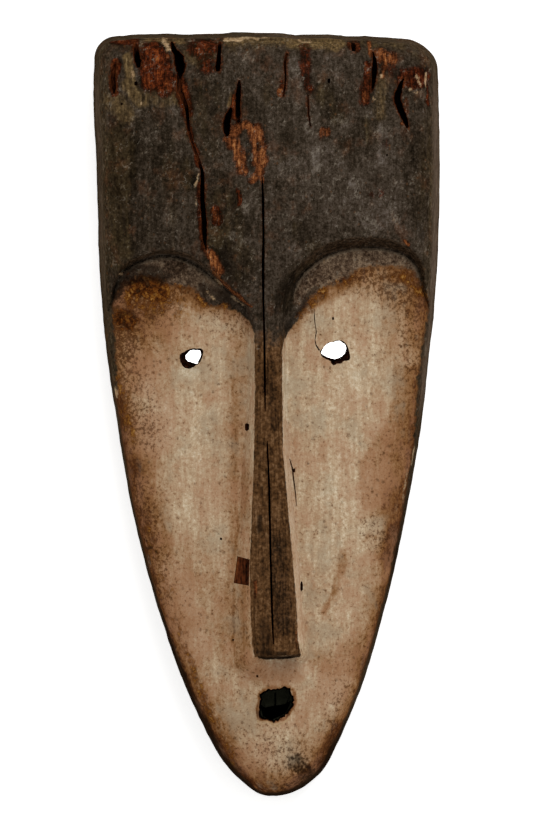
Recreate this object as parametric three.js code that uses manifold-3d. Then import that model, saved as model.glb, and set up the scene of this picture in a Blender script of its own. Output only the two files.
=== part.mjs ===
// A long carved wooden face mask with a flat-topped forehead, two brow arches, a narrow ridge nose and a
// pointed chin. It lies on the flat rim of its hollow back, face up. Millimetres, +Z out of the face, +Y
// towards the top of the forehead, +X towards the right side of the face as a viewer sees it.
// The origin is at the middle of the footprint, on the plane of the rim.
import * as THREE from 'three';
import { mergeVertices } from 'three/addons/utils/BufferGeometryUtils.js';
import Module from 'manifold-3d';

const wasm = await Module();
wasm.setup();

// Driving dimensions of the block
const halfLength = 150;
const wallLean = 2.6; // how far the side wall leans in between the rim and the front edge
const wallThickness = 8;
const leftCornerRadius = 8;
const rightCornerRadius = 11;
const topEdgeDroop = 1.3; // the top edge is a little lower at its corners than in its middle
const slopeStep = 1; // half the length over which the outline's slope is read

// The carver's template: distance along the mask, half width there, and how far the middle drifts right
const template = [
  { y: 150, halfWidth: 67.6, middle: -0.5 },
  { y: 112, halfWidth: 68.0, middle: -0.1 },
  { y: 60, halfWidth: 66.7, middle: 0.5 },
  { y: 30, halfWidth: 64.2, middle: 0.6 },
  { y: 0, halfWidth: 60.5, middle: 0.8 },
  { y: -30, halfWidth: 55.5, middle: 1.0 },
  { y: -60, halfWidth: 48.9, middle: 1.5 },
  { y: -85, halfWidth: 42.0, middle: 2.0 },
  { y: -105, halfWidth: 35.2, middle: 2.6 },
  { y: -120, halfWidth: 28.8, middle: 3.0 },
  { y: -132, halfWidth: 22.8, middle: 3.3 },
  { y: -140, halfWidth: 17.4, middle: 3.5 },
  { y: -146, halfWidth: 10.9, middle: 3.4 },
  { y: -150, halfWidth: 4.5, middle: 2.4 },
];

// Heights above the rim along the middle of the mask, and how far the surface falls from there to each side
const ridgeProfile = [
  { y: 150, z: 43, fall: 6 },
  { y: 125, z: 47.5, fall: 7 },
  { y: 90, z: 49.5, fall: 8 },
  { y: 60, z: 49, fall: 10 },
  { y: 40, z: 48, fall: 13 },
  { y: 5, z: 46.5, fall: 13 },
  { y: -45, z: 46.5, fall: 13 },
  { y: -95, z: 48.5, fall: 13 },
  { y: -150, z: 49, fall: 13 },
];
const cheekProfile = [
  { y: 150, z: 35, fall: 4 },
  { y: 68, z: 35.5, fall: 4 },
  { y: 50, z: 37, fall: 5 },
  { y: 28, z: 38.2, fall: 7 },
  { y: -20, z: 38.5, fall: 8.5 },
  { y: -70, z: 38, fall: 8.5 },
  { y: -105, z: 36.5, fall: 7.5 },
  { y: -130, z: 33.5, fall: 6 },
  { y: -150, z: 29, fall: 3 },
];
const foreheadEdge = { side: 9, end: 6 }; // radii of the rounded edges
const cheekEdge = { side: 6, end: 7 };

// Hollow of the back
const hollowTop = 142;
const hollowEnd = -108;
const hollowTaper = 60; // length over which the hollow rounds off towards the chin
const bluntEnd = 0.99; // share of that rounding at which the hollow's end is cut off
const hollowCornerRadius = 14;
const vaultPower = 3.6; // above 2 the vault has a flatter roof and steeper walls than a half ellipse
const endVaultLength = { top: 16, chin: 34 };
const belowRim = 4;
const roofProfile = [
  { y: 142, z: 36 },
  { y: 108, z: 38.5 },
  { y: 90, z: 36 },
  { y: 72, z: 28.5 },
  { y: 52, z: 28.5 },
  { y: 20, z: 30 },
  { y: -60, z: 30 },
  { y: -108, z: 25 },
];

// Brow arches, from the side of the mask to the root of the nose, and the two edges of the nose's flat front
const leftBrow = [[-72, 30], [-64, 43], [-61.5, 51], [-55.5, 59.2], [-42, 64], [-29, 61.5], [-15, 50.4], [-7, 42]];
const rightBrow = [[7, 47], [11.5, 56.5], [22, 65], [38, 69], [54, 66.8], [62.5, 59.5], [66, 48], [72, 36]];
const leftNoseEdge = [[-4.6, 33], [-4.4, 10], [-4.7, -40], [-4.7, -80], [-4.5, -94.8]];
const rightNoseEdge = [[13.2, -94.0], [12.1, -82], [10.2, -56], [7.3, -30], [5.7, 5], [5.4, 34]];
const browWallSlope = 0.3; // millimetres outward for each millimetre down
const leftFlankSlope = 0.55;
const rightFlankSlope = 0.3;
const flankTopZ = 54;
const flankFootZ = 32;
const edgeLevelZ = 47.5; // the height at which the brow and nose edges above are stated
const blankMargin = 90; // reach of the cutting shapes past the block

// Eye holes run through the wall, narrower behind. The mouth is a blind pocket.
const eyeHoles = [
  { front: { x: -29.3, y: 21.6, rx: 4.6, ry: 3.9 }, back: { x: -28.6, y: 22.1, rx: 3.4, ry: 3.2 }, phase: 0.4 },
  { front: { x: 27.1, y: 23.8, rx: 6.0, ry: 4.9 }, back: { x: 26.2, y: 25.0, rx: 5.0, ry: 3.8 }, phase: 2.1 },
];
const mouth = { x: 3.8, y: -113.8, rx: 6.9, ry: 6.8, floorZ: 24.5, floorShare: 0.86, phase: 1.2 };
const holePoints = 14;
const holeTopZ = 60;
const eyeBackZ = 22;
const raggedness = 0.09;

// Open splits and insect galleries: centre line with a half width at each point, and depth below the surface
const splits = [
  { depth: 9, line: [[-1.7, 91.8, 0.35], [-1.5, 70, 0.55], [-1.3, 44.7, 0.6], [0.2, -14.1, 0.55],
    [1.4, -52.2, 0.5], [2.5, -89.8, 0.35]] },
  { depth: 7, line: [[-38, 152, 1.0], [-36.3, 140.8, 1.7], [-34.3, 134.5, 2.2], [-33.5, 124, 1.4],
    [-31, 116.5, 1.4], [-30, 107.5, 1.0], [-26, 96.5, 1.0], [-24.7, 85.5, 1.3], [-24.2, 72, 1.2], [-24, 64, 0.5]] },
];
const galleries = [
  { depth: 6, line: [[-51.7, 145.5, 1.1], [-50.6, 139, 1.6], [-49.8, 134.5, 0.5]] },
  { depth: 4, line: [[-58.3, 137, 0.8], [-59, 131, 1.4], [-59.4, 125, 0.5]] },
  { depth: 5, line: [[-18.4, 152, 1.2], [-18.4, 139, 1.2], [-19, 133.5, 0.5]] },
  { depth: 5, line: [[-10.6, 130, 0.4], [-10.2, 121, 1.0], [-11.6, 113.5, 0.7]] },
  { depth: 6, line: [[-14.3, 119.5, 0.7], [-15.5, 113.5, 1.5], [-16.3, 108.5, 0.6]] },
  { depth: 5, line: [[33.5, 152, 1.3], [33.7, 146, 1.2], [33.7, 141.5, 0.6]] },
  { depth: 6, line: [[41.7, 138.3, 0.7], [42.2, 131.5, 1.5], [41.2, 125.3, 0.4]] },
  { depth: 6, line: [[52.2, 131.5, 0.6], [50.4, 124.5, 1.3], [52.6, 118.5, 1.5], [55, 111.5, 0.5]] },
  { depth: 3, line: [[7.4, 141, 0.5], [7.3, 131, 0.6], [6.7, 123, 0.4]] },
];
const splitFloorShare = 0.4; // width of a split's floor over its mouth
const splitHeadroom = 3;

// A squared chip beside the nose
const chip = { corners: [[-12.6, -66.4], [-7.1, -67.1], [-6.5, -57.1], [-11.2, -55.9]], floorZ: 35.4 };

// Grid resolution
const fieldColumns = 30;
const fieldRows = 54;
const hollowColumns = 16;
const hollowRows = 26;
const curveSteps = 26;

// Smooth value of a table at y, whose rows run from high y to low y
function along(table, key, y) {
  const last = table.length - 1;
  let i = 0;
  while (i < last - 1 && y < table[i + 1].y) i += 1;
  const slopeAt = (k) => {
    const before = table[Math.max(k - 1, 0)];
    const after = table[Math.min(k + 1, last)];
    return (after[key] - before[key]) / (after.y - before.y);
  };
  const a = table[i];
  const b = table[i + 1];
  const span = b.y - a.y;
  const t = Math.min(Math.max((y - a.y) / span, 0), 1);
  const t2 = t * t;
  const t3 = t2 * t;
  return (2 * t3 - 3 * t2 + 1) * a[key] + (t3 - 2 * t2 + t) * span * slopeAt(i)
    + (3 * t2 - 2 * t3) * b[key] + (t3 - t2) * span * slopeAt(i + 1);
}

function cornerCut(y, radius) {
  const past = Math.min(Math.max(y - (halfLength - radius), 0), radius);
  return radius - Math.sqrt(radius * radius - past * past);
}

// Height lost within a rounded edge of the given radius, at a distance inside it
function edgeDrop(distance, radius) {
  const inward = Math.min(Math.max(1 - distance / radius, 0), 1);
  return radius * (1 - Math.sqrt(1 - inward * inward));
}

// Place in plan of a point of the outline grid, u across and v along, both from -1 to 1, with the whole
// outline brought in by the inset along its own normal
function outlinePlan(u, v, inset) {
  const y = halfLength * Math.sin((v * Math.PI) / 2);
  const across = Math.sin((u * Math.PI) / 2);
  const radius = u < 0 ? leftCornerRadius : rightCornerRadius;
  const reachAt = (at) => along(template, 'halfWidth', at) - cornerCut(at, radius);
  const below = Math.max(y - slopeStep, -halfLength);
  const above = Math.min(y + slopeStep, halfLength);
  const slope = (reachAt(above) - reachAt(below)) / (above - below);
  const steep = Math.hypot(1, slope);
  const reach = reachAt(y) - inset / steep;
  const x = along(template, 'middle', y) + across * reach;
  const droop = topEdgeDroop * across * across * THREE.MathUtils.smoothstep(y, 0, halfLength);
  return { x, y: y + (inset * slope) / steep - droop, across, reach };
}

// Closed solid from a grid of top points, with walls down through loops of its border and a flat underside
function domedSolid(columns, rows, topPoint, lowerLoops) {
  const points = [];
  const faces = [];
  const param = (i, j) => [(2 * j) / columns - 1, (2 * i) / rows - 1];
  for (let i = 0; i <= rows; i += 1) {
    for (let j = 0; j <= columns; j += 1) points.push(topPoint(...param(i, j)));
  }
  const at = (i, j) => i * (columns + 1) + j;
  for (let i = 0; i < rows; i += 1) {
    for (let j = 0; j < columns; j += 1) {
      faces.push([at(i, j), at(i, j + 1), at(i + 1, j + 1)], [at(i, j), at(i + 1, j + 1), at(i + 1, j)]);
    }
  }
  const border = [];
  for (let j = 0; j < columns; j += 1) border.push([0, j]);
  for (let i = 0; i < rows; i += 1) border.push([i, columns]);
  for (let j = columns; j > 0; j -= 1) border.push([rows, j]);
  for (let i = rows; i > 0; i -= 1) border.push([i, 0]);
  let upper = border.map(([i, j]) => at(i, j));
  for (const loopPoint of lowerLoops) {
    const lower = border.map(([i, j]) => points.push(loopPoint(...param(i, j))) - 1);
    lower.forEach((a, k) => {
      const next = (k + 1) % lower.length;
      faces.push([a, lower[next], upper[next]], [a, upper[next], upper[k]]);
    });
    upper = lower;
  }
  const contour = upper.map((k) => new THREE.Vector2(points[k][0], points[k][1]));
  for (const [a, b, c] of THREE.ShapeUtils.triangulateShape(contour, [])) {
    faces.push([upper[c], upper[b], upper[a]]);
  }
  return solidFrom(points, faces);
}

// Closed solid through rings of equal point counts, whose end rings are flat
function loft(rings, flatten) {
  const points = rings.flat();
  const count = rings[0].length;
  const faces = [];
  for (let r = 0; r + 1 < rings.length; r += 1) {
    for (let k = 0; k < count; k += 1) {
      const a = r * count + k;
      const b = r * count + ((k + 1) % count);
      faces.push([a, b, b + count], [a, b + count, a + count]);
    }
  }
  const capOf = (ring) => THREE.ShapeUtils.triangulateShape(ring.map(flatten), []);
  const top = (rings.length - 1) * count;
  for (const [a, b, c] of capOf(rings[0])) faces.push([c, b, a]);
  for (const [a, b, c] of capOf(rings[rings.length - 1])) faces.push([top + a, top + b, top + c]);
  return solidFrom(points, faces);
}

const planOf = ([x, y]) => new THREE.Vector2(x, y);

function solidFrom(points, faces) {
  const geometry = new THREE.BufferGeometry();
  geometry.setAttribute('position', new THREE.Float32BufferAttribute(points.flat(), 3));
  geometry.setIndex(faces.flat());
  const merged = mergeVertices(geometry, 1e-4);
  const mesh = new wasm.Mesh({
    numProp: 3,
    vertProperties: merged.attributes.position.array,
    triVerts: new Uint32Array(merged.index.array),
  });
  return new wasm.Manifold(mesh);
}

// Height of a carved front surface over a point of the outline grid
function frontHeight(profile, edge, plan) {
  const sideDistance = (1 - Math.abs(plan.across)) * plan.reach;
  const topDistance = halfLength - wallLean - plan.y - topEdgeDroop * plan.across * plan.across;
  const chinDistance = halfLength - wallLean + plan.y;
  const drop = edgeDrop(sideDistance, Math.min(edge.side, plan.reach))
    + edgeDrop(topDistance, edge.end) + edgeDrop(chinDistance, edge.end);
  const fall = along(profile, 'fall', plan.y) * plan.across * plan.across;
  return along(profile, 'z', plan.y) - fall - Math.min(drop, edge.side);
}

function frontField(profile, edge) {
  const top = (u, v) => {
    const plan = outlinePlan(u, v, wallLean);
    return [plan.x, plan.y, frontHeight(profile, edge, plan)];
  };
  const rim = (u, v) => {
    const plan = outlinePlan(u, v, 0);
    return [plan.x, plan.y, 0];
  };
  return domedSolid(fieldColumns, fieldRows, top, [rim]);
}

// Smooth chain of plan points through a few stated ones
function smoothChain(chain) {
  const curve = new THREE.SplineCurve(chain.map(planOf));
  return curve.getPoints(curveSteps).map((p) => [p.x, p.y]);
}

// Forehead and nose in plan: brow arches and nose edges below, open block above, flaring towards the cheeks
function browAndNoseStencil() {
  const leftSide = [-1, 0];
  const rightSide = [1, 0];
  const outline = [
    ...smoothChain(leftBrow).map((p) => ({ p, slope: browWallSlope })),
    ...leftNoseEdge.map((p) => ({ p, slope: leftFlankSlope, outward: leftSide })),
    ...rightNoseEdge.map((p) => ({ p, slope: rightFlankSlope, outward: rightSide })),
    ...smoothChain(rightBrow).map((p) => ({ p, slope: browWallSlope })),
    { p: [blankMargin, 36], slope: 0 },
    { p: [blankMargin, halfLength + 20], slope: 0 },
    { p: [-blankMargin, halfLength + 20], slope: 0 },
    { p: [-blankMargin, 30], slope: 0 },
  ];
  const outwardOf = (k) => {
    if (outline[k].outward) return outline[k].outward;
    const [ax, ay] = outline[(k + outline.length - 1) % outline.length].p;
    const [bx, by] = outline[(k + 1) % outline.length].p;
    const length = Math.hypot(bx - ax, by - ay);
    return [(by - ay) / length, -(bx - ax) / length];
  };
  const ring = (z, spreadZ) => outline.map(({ p: [x, y], slope }, k) => {
    const spread = slope * (edgeLevelZ - spreadZ);
    const [nx, ny] = outwardOf(k);
    return [x + nx * spread, y + ny * spread, z];
  });
  return loft([ring(-1, flankFootZ), ring(flankFootZ, flankFootZ), ring(flankTopZ, flankTopZ)], planOf);
}

// Ragged oval ring, as a hole bored and chipped by hand
function raggedRing({ x, y, rx, ry }, z, phase) {
  return Array.from({ length: holePoints }, (_, k) => {
    const angle = (2 * Math.PI * k) / holePoints;
    const swell = 1 + raggedness * (Math.sin(3 * angle + phase) + 0.7 * Math.sin(5 * angle + 2 * phase));
    return [x + rx * swell * Math.cos(angle), y + ry * swell * Math.sin(angle), z];
  });
}

function eyeCutter({ front, back, phase }) {
  const surfaceZ = along(cheekProfile, 'z', front.y) - 1;
  const behind = raggedRing(back, surfaceZ - wallThickness + 1, phase);
  const deep = raggedRing(back, eyeBackZ, phase);
  return loft([deep, behind, raggedRing(front, surfaceZ, phase), raggedRing(front, holeTopZ, phase)], planOf);
}

function mouthCutter() {
  const floor = { ...mouth, rx: mouth.rx * mouth.floorShare, ry: mouth.ry * mouth.floorShare };
  const rings = [raggedRing(floor, mouth.floorZ, mouth.phase), raggedRing(mouth, 35, mouth.phase),
    raggedRing(mouth, holeTopZ, mouth.phase)];
  return loft(rings, planOf);
}

function chipCutter() {
  return loft([chip.floorZ, holeTopZ].map((z) => chip.corners.map(([x, y]) => [x, y, z])), planOf);
}

// Wedge that follows a centre line on the forehead and nose surface
function splitCutter({ line, depth }) {
  const sections = line.map(([x, y, half], k) => {
    const [ax, ay] = line[Math.max(k - 1, 0)];
    const [bx, by] = line[Math.min(k + 1, line.length - 1)];
    const length = Math.hypot(bx - ax, by - ay);
    const n = [-(by - ay) / length, (bx - ax) / length];
    const surfaceZ = along(ridgeProfile, 'z', y)
      - along(ridgeProfile, 'fall', y) * (x / template[0].halfWidth) ** 2;
    const lip = half * (1 + splitHeadroom / depth);
    const floor = half * splitFloorShare;
    const topZ = surfaceZ + splitHeadroom;
    const floorZ = surfaceZ - depth;
    return [[x + n[0] * lip, y + n[1] * lip, topZ], [x - n[0] * lip, y - n[1] * lip, topZ],
      [x - n[0] * floor, y - n[1] * floor, floorZ], [x + n[0] * floor, y + n[1] * floor, floorZ]];
  });
  const capView = ([x, , z], k) => new THREE.Vector2(k === 0 || k === 3 ? 1 : -1, z);
  return loft(sections, capView);
}

// Height share of a vault at a place across it, from 1 in its middle to 0 at its foot
function vault(across) {
  return (1 - Math.min(Math.abs(across), 1) ** vaultPower) ** (1 / vaultPower);
}

function hollowCutter() {
  const plan = (u, v) => {
    const t = (Math.sin((v * Math.PI) / 2) + 1) / 2;
    const y = hollowEnd + (hollowTop - hollowEnd) * t;
    const intoTaper = Math.min(Math.max((hollowEnd + hollowTaper - y) / hollowTaper, 0), bluntEnd);
    const corner = cornerCut(y + halfLength - hollowTop, hollowCornerRadius);
    const widest = along(template, 'halfWidth', y) - wallThickness - corner;
    const across = Math.sin((u * Math.PI) / 2);
    const reach = widest * Math.sqrt(1 - intoTaper * intoTaper);
    return { x: along(template, 'middle', y) + across * reach, y, across };
  };
  const roof = (u, v) => {
    const p = plan(u, v);
    const fromTop = 1 - (hollowTop - p.y) / endVaultLength.top;
    const fromChin = 1 - (p.y - hollowEnd) / endVaultLength.chin;
    const height = along(roofProfile, 'z', p.y) * vault(p.across);
    return [p.x, p.y, height * vault(Math.max(fromTop, 0)) * vault(Math.max(fromChin, 0))];
  };
  const foot = (u, v) => {
    const p = plan(u, v);
    return [p.x, p.y, -belowRim];
  };
  return domedSolid(hollowColumns, hollowRows, roof, [foot]);
}

function carvedMask() {
  const cheeks = frontField(cheekProfile, cheekEdge);
  const forehead = frontField(ridgeProfile, foreheadEdge).intersect(browAndNoseStencil());
  const cutters = [hollowCutter(), ...eyeHoles.map(eyeCutter), mouthCutter(), chipCutter(),
    ...[...splits, ...galleries].map(splitCutter)];
  return cutters.reduce((wood, cutter) => wood.subtract(cutter), cheeks.add(forehead));
}

function geometryOf(solid) {
  const mesh = solid.getMesh();
  const geometry = new THREE.BufferGeometry();
  geometry.setAttribute('position', new THREE.BufferAttribute(mesh.vertProperties, mesh.numProp));
  geometry.setIndex(new THREE.BufferAttribute(mesh.triVerts, 1));
  geometry.computeVertexNormals();
  return geometry;
}

const stainedWood = new THREE.MeshStandardMaterial({ color: 0x3b342b, roughness: 0.8, metalness: 0 });

const mask = new THREE.Mesh(geometryOf(carvedMask()), stainedWood);
mask.name = 'mask';

const part = new THREE.Group();
part.add(mask);

export default part;
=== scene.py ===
import math

import bpy
import numpy as np
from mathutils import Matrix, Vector


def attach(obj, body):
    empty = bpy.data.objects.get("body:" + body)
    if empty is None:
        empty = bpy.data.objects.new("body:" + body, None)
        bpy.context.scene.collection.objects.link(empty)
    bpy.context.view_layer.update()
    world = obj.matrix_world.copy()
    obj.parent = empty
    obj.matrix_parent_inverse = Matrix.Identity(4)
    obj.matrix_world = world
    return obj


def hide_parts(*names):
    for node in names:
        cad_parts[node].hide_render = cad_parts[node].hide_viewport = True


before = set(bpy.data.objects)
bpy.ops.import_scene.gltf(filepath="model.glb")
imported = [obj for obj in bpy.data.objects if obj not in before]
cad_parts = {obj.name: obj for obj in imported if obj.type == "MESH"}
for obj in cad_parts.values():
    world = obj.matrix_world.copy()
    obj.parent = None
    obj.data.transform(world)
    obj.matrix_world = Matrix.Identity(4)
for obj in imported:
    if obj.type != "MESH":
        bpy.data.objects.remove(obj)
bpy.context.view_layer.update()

# Places on the mask are in millimetres: X to the right of the face as seen, Y up the forehead,
# Z out of the face, with the rim at 0
mm = 0.001
aboveAll = 60  # where every cutter that comes from the front starts

blank = {
    "halfLength": 150,
    "foreheadLean": 2.6,
    "cheekLean": 1.4,
    "leanChange": (20, 70),
    "outlinePoints": 121,
    "gapPoints": 4001,
    "leftCorner": 9.6,
    "rightCorner": 13.9,
    "topEdgeDroop": 1.3,
    # distance along, half width, drift of the middle to the right
    "template": [
        (150, 67.6, -0.5), (112, 68.0, -0.1), (60, 66.7, 0.5), (30, 64.2, 0.6), (0, 60.5, 0.8),
        (-30, 55.5, 1.0), (-60, 48.9, 1.5), (-85, 42.0, 2.0), (-105, 35.3, 2.7), (-120, 29.0, 3.1),
        (-132, 23.1, 3.45), (-140, 18.0, 4.0), (-146, 11.3, 4.0), (-148.6, 7.1, 3.3), (-149.6, 4.0, 2.8),
        (-150, 1.4, 2.4),
    ],
    # how far the edge has worn back from that: up each side, and along the top from left to right
    "worn": {
        "left": [
            (-98, -0.2), (-84, 0.1), (-72, 0), (-34, 0), (-22, 0.35), (-8, 0.32), (1, 0.45), (9, 0.15),
            (24, 0), (34, 0.1), (45, 0.33), (57, 0.33), (67, 0.43), (76, 0.8), (88, 0.8), (100, 0.95),
            (109, 0.64), (115, 0.35), (123, 0.1), (132, 0.1), (138, 0.45), (150, 0.4),
        ],
        "right": [
            (-60, -0.15), (-40, 0), (-8, -0.25), (2, -0.1), (25, 0.12), (38, -0.15), (50, 0.12),
            (60, -0.05), (80, -0.25), (104, -0.25), (114, -0.1), (140, 0.05), (150, 0.2),
        ],
        "top": [
            (-66, 0.15), (-60, -0.25), (-52, -0.15), (-45, -0.1), (-38, 0.5), (-30, 0.45), (-20, 0.45),
            (-15, -0.05), (-9, -0.1), (-2, 0.25), (8, 0.3), (15, 1.1), (22, 0.7), (33, 0.6), (39, 0.95),
            (43, 1.05), (50, 0.75), (58, 1.0), (66, 1.1),
        ],
        "nickDepth": 0.24,
        # share of that depth, size and seed
        "nicks": [(0.6, 6, 61), (0.4, 2.6, 62)],
        # the noise of one side is read this far from the other's, and the top's wear starts here
        "sideShift": 70, "topFrom": 138,
    },
    # distance along, height in the middle, fall from there to the sides, radius of the edge
    "crown": [
        (150, 43, 6, 5), (125, 47.5, 7, 9), (90, 49.5, 8, 9), (60, 49, 10, 9), (40, 48, 13, 8),
        (5, 46.5, 13, 8), (-45, 46.5, 13, 8), (-95, 48.5, 13, 8), (-150, 49, 13, 8),
    ],
    "cheek": [
        (150, 35, 4, 6), (68, 35.5, 4, 6), (50, 37, 5, 6), (28, 38.2, 7, 6), (-20, 38.5, 8.5, 6),
        (-70, 38, 8.5, 6), (-105, 36.5, 7.5, 6), (-130, 33.5, 6, 7), (-150, 29, 3, 7),
    ],
    # distance along, gap between the rows there: they stand closer where the carving is steep
    "rowGaps": [
        (150, 0.3), (143, 0.8), (100, 1.25), (78, 0.9), (68, 0.55), (32, 0.55), (20, 0.95), (-80, 1.3),
        (-91, 0.7), (-94, 0.3), (-97, 0.7), (-104, 1.0), (-116, 0.8), (-120.5, 0.5), (-124, 0.9),
        (-144, 0.7), (-150, 0.25),
    ],
    "columnGaps": [
        (-1, 0.45), (-0.85, 0.8), (-0.5, 1.25), (-0.2, 0.8), (0.35, 0.8), (0.5, 1.25), (0.85, 0.8),
        (1, 0.45),
    ],
    "columns": 216,
    "rows": 300,
    "wallSteps": 11,
    # depth, size and seed
    "broadMarks": (0.35, 9, 12),
    "broadShift": 40,
    "fineMarks": (0.2, 4, 13),
    "fineShift": 9,
}

carving = {
    "leftBrow": [
        (-72, 30), (-64, 43), (-61.5, 51), (-55.5, 59.2), (-42, 64), (-29, 61.5), (-15, 50.4), (-7, 42),
        (-4.6, 33),
    ],
    "leftNose": [(-4.6, 33), (-4.4, 10), (-4.7, -40), (-4.7, -80), (-4.5, -94.8)],
    "noseEnd": [(-4.5, -94.8), (13.2, -94.0)],
    "rightNose": [(13.2, -94.0), (12.1, -82), (10.2, -56), (7.3, -30), (5.7, 5), (5.4, 34)],
    "rightBrow": [
        (5.4, 34), (7, 47), (11.5, 56.5), (22, 65), (38, 69), (54, 66.8), (62.5, 59.5), (66, 48),
        (72, 36),
    ],
    "outside": [(90, 36), (90, 170), (-90, 170), (-90, 30)],
    # mm outward for each mm down, at the brows and at the nose's end, then the radius of the crest
    "walls": {
        "leftBrow": (0.16, 0.16, 1.3), "leftNose": (0.3, 0.8, 0.6), "noseEnd": (0.06, 0.06, 0.5),
        "rightNose": (0.28, 0.3, 0.6), "rightBrow": (0.28, 0.28, 1.5),
    },
    "wallChange": (-70, 30),
    "browSteps": 26,
    "edgeLevel": 47.5,
    "footRounding": 1.2,
    "tipReach": 2,
    "tipRadius": 3,
    "grooveDepth": 1.7,
    "grooveWidth": 1.5,
    "grooveFade": (36, 52),
    "coveDepth": 1.2,
    "coveReach": 9,
    # unevenness: depth, size and seed
    "crownHandwork": [(0.3, 13, 3)],
    "cheekHandwork": [(0.22, 13, 8)],
}

flakeEdge = {"fade": (0.42, 0.62), "ragged": [(0.18, 1.6, 5), (0.16, 3.5, 6)]}
# Where the surface has flaked or worn down: half width, depth, line
flakes = [
    (7.6, 0.9, [(-8.4, 107.5), (-9, 101)]), (2.4, 0.6, [(-5, 90.5)]),
    (3.4, 0.9, [(-21.8, 61.8), (-19, 58)]), (4.6, 1.0, [(-44.5, 141), (-43.5, 130.5)]),
    (2.6, 0.5, [(-53.5, 140), (-52, 127)]), (4.2, 0.5, [(-28, 141.5), (-23, 142.5)]),
    (1.8, 0.7, [(-32.5, 127), (-30, 112)]), (3.0, 0.8, [(44, 141), (47.5, 139.5)]),
    (2.0, 0.7, [(39.5, 136), (40, 122)]), (3.6, 0.7, [(56, 129), (60.5, 130.5)]),
    (1.8, 0.5, [(21.6, 109), (24, 109.2)]), (2.0, 0.4, [(-19, 78.5), (-19, 75)]),
    (2.2, 0.8, [(-58.8, 135), (-59.5, 127)]), (1.9, 0.6, [(-32.3, 16.9), (-27.3, 16)]),
    (1.7, 0.7, [(-59, 146), (-54, 145.6)]), (1.6, 1.0, [(-12.9, 123), (-12.7, 114)]),
]


def smoothstep(low, high, value):
    t = np.clip((value - low) / (high - low), 0, 1)
    return t * t * (3 - 2 * t)


def along(rows, column, y):
    # smooth value of a table at each y, its slope at a row read from the rows beside it
    ys = np.array([row[0] for row in rows][::-1], float)
    values = np.array([row[column] for row in rows][::-1], float)
    before = np.maximum(np.arange(len(ys)) - 1, 0)
    after = np.minimum(np.arange(len(ys)) + 1, len(ys) - 1)
    slopes = (values[after] - values[before]) / (ys[after] - ys[before])
    k = np.clip(np.searchsorted(ys, y) - 1, 0, len(ys) - 2)
    span = ys[k + 1] - ys[k]
    t = np.clip((y - ys[k]) / span, 0, 1)
    t2 = t * t
    t3 = t2 * t
    start = (2 * t3 - 3 * t2 + 1) * values[k] + (t3 - 2 * t2 + t) * span * slopes[k]
    return start + (3 * t2 - 2 * t3) * values[k + 1] + (t3 - t2) * span * slopes[k + 1]


def smoothChain(points, steps):
    # evenly stepped smooth line through stated points
    p = np.array(points, float)
    p = np.vstack([p[:1], p, p[-1:]])
    t = np.linspace(0, len(points) - 1, steps + 1)
    k = np.clip(t.astype(int), 0, len(points) - 2)
    t = (t - k)[:, None]
    a, b, c, d = p[k], p[k + 1], p[k + 2], p[k + 3]
    return b + t * ((c - a) / 2 + t * (a - 2.5 * b + 2 * c - d / 2 + t * (1.5 * (b - c) + (d - a) / 2)))


def handNoise(x, y, cell, seed):
    # soft uneven field from -1 to 1, with swells about a cell apart
    table = np.random.default_rng(seed).uniform(-1, 1, (64, 64))
    i, j = np.floor(x / cell).astype(int), np.floor(y / cell).astype(int)
    s, t = smoothstep(0, 1, x / cell - i), smoothstep(0, 1, y / cell - j)
    near = table[i % 64, j % 64] * (1 - s) + table[(i + 1) % 64, j % 64] * s
    far = table[i % 64, (j + 1) % 64] * (1 - s) + table[(i + 1) % 64, (j + 1) % 64] * s
    return near * (1 - t) + far * t


def uneven(x, y, parts):
    # sum of such fields, each with its strength, the size of its swells and its seed
    return sum(strength * handNoise(x, y, cell, seed) for strength, cell, seed in parts)


def lineDistance(x, y, line):
    best = np.full(np.shape(x), math.inf)
    starts = line[:-1] if len(line) > 1 else line
    ends = line[1:] if len(line) > 1 else line
    for (ax, ay), (bx, by) in zip(starts, ends):
        ex, ey = bx - ax, by - ay
        t = np.clip(((x - ax) * ex + (y - ay) * ey) / max(ex * ex + ey * ey, 1e-9), 0, 1)
        best = np.minimum(best, np.hypot(x - ax - t * ex, y - ay - t * ey))
    return best


def closed(outline):
    return np.vstack([outline, outline[:1]])


def isInside(x, y, outline):
    crossings = np.zeros(np.shape(x), int)
    for (ax, ay), (bx, by) in zip(outline, np.roll(outline, -1, axis=0)):
        if ay == by:
            continue
        spans = (ay > y) != (by > y)
        crossings += spans & (x < ax + (y - ay) * (bx - ax) / (by - ay))
    return crossings % 2 == 1


def strokeField(x, y, strokes):
    # full along each line and one half at its half width; a stroke is a half width, a strength and a line
    field = np.zeros(np.shape(x))
    for half, strength, line in strokes:
        r = lineDistance(x, y, line) / half
        field = np.maximum(field, strength * (1 - smoothstep(0.4, 1.6, r)))
    return field


def cornerCut(y, radius):
    past = np.clip(y - (blank["halfLength"] - radius), 0, radius)
    return radius - np.sqrt(radius * radius - past * past)


def halfWidth(y, across):
    radius = np.where(across < 0, blank["leftCorner"], blank["rightCorner"])
    return along(blank["template"], 1, y) - cornerCut(y, radius)


def outlinePlace(across, y, inset):
    # place in plan of a share across the blank, with the outline brought in along its own normal, whose
    # direction is read from a millimetre on either side
    below = np.maximum(y - 1, -blank["halfLength"])
    above = np.minimum(y + 1, blank["halfLength"])
    slope = (halfWidth(above, across) - halfWidth(below, across)) / (above - below)
    steep = np.hypot(1, slope)
    reach = halfWidth(y, across) - inset / steep
    droop = blank["topEdgeDroop"] * across ** 2 * smoothstep(0, blank["halfLength"], y)
    return along(blank["template"], 2, y) + across * reach, y + inset * slope / steep - droop


def wallLean(y):
    low, high = blank["cheekLean"], blank["foreheadLean"]
    return low + (high - low) * smoothstep(*blank["leanChange"], y)


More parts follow.
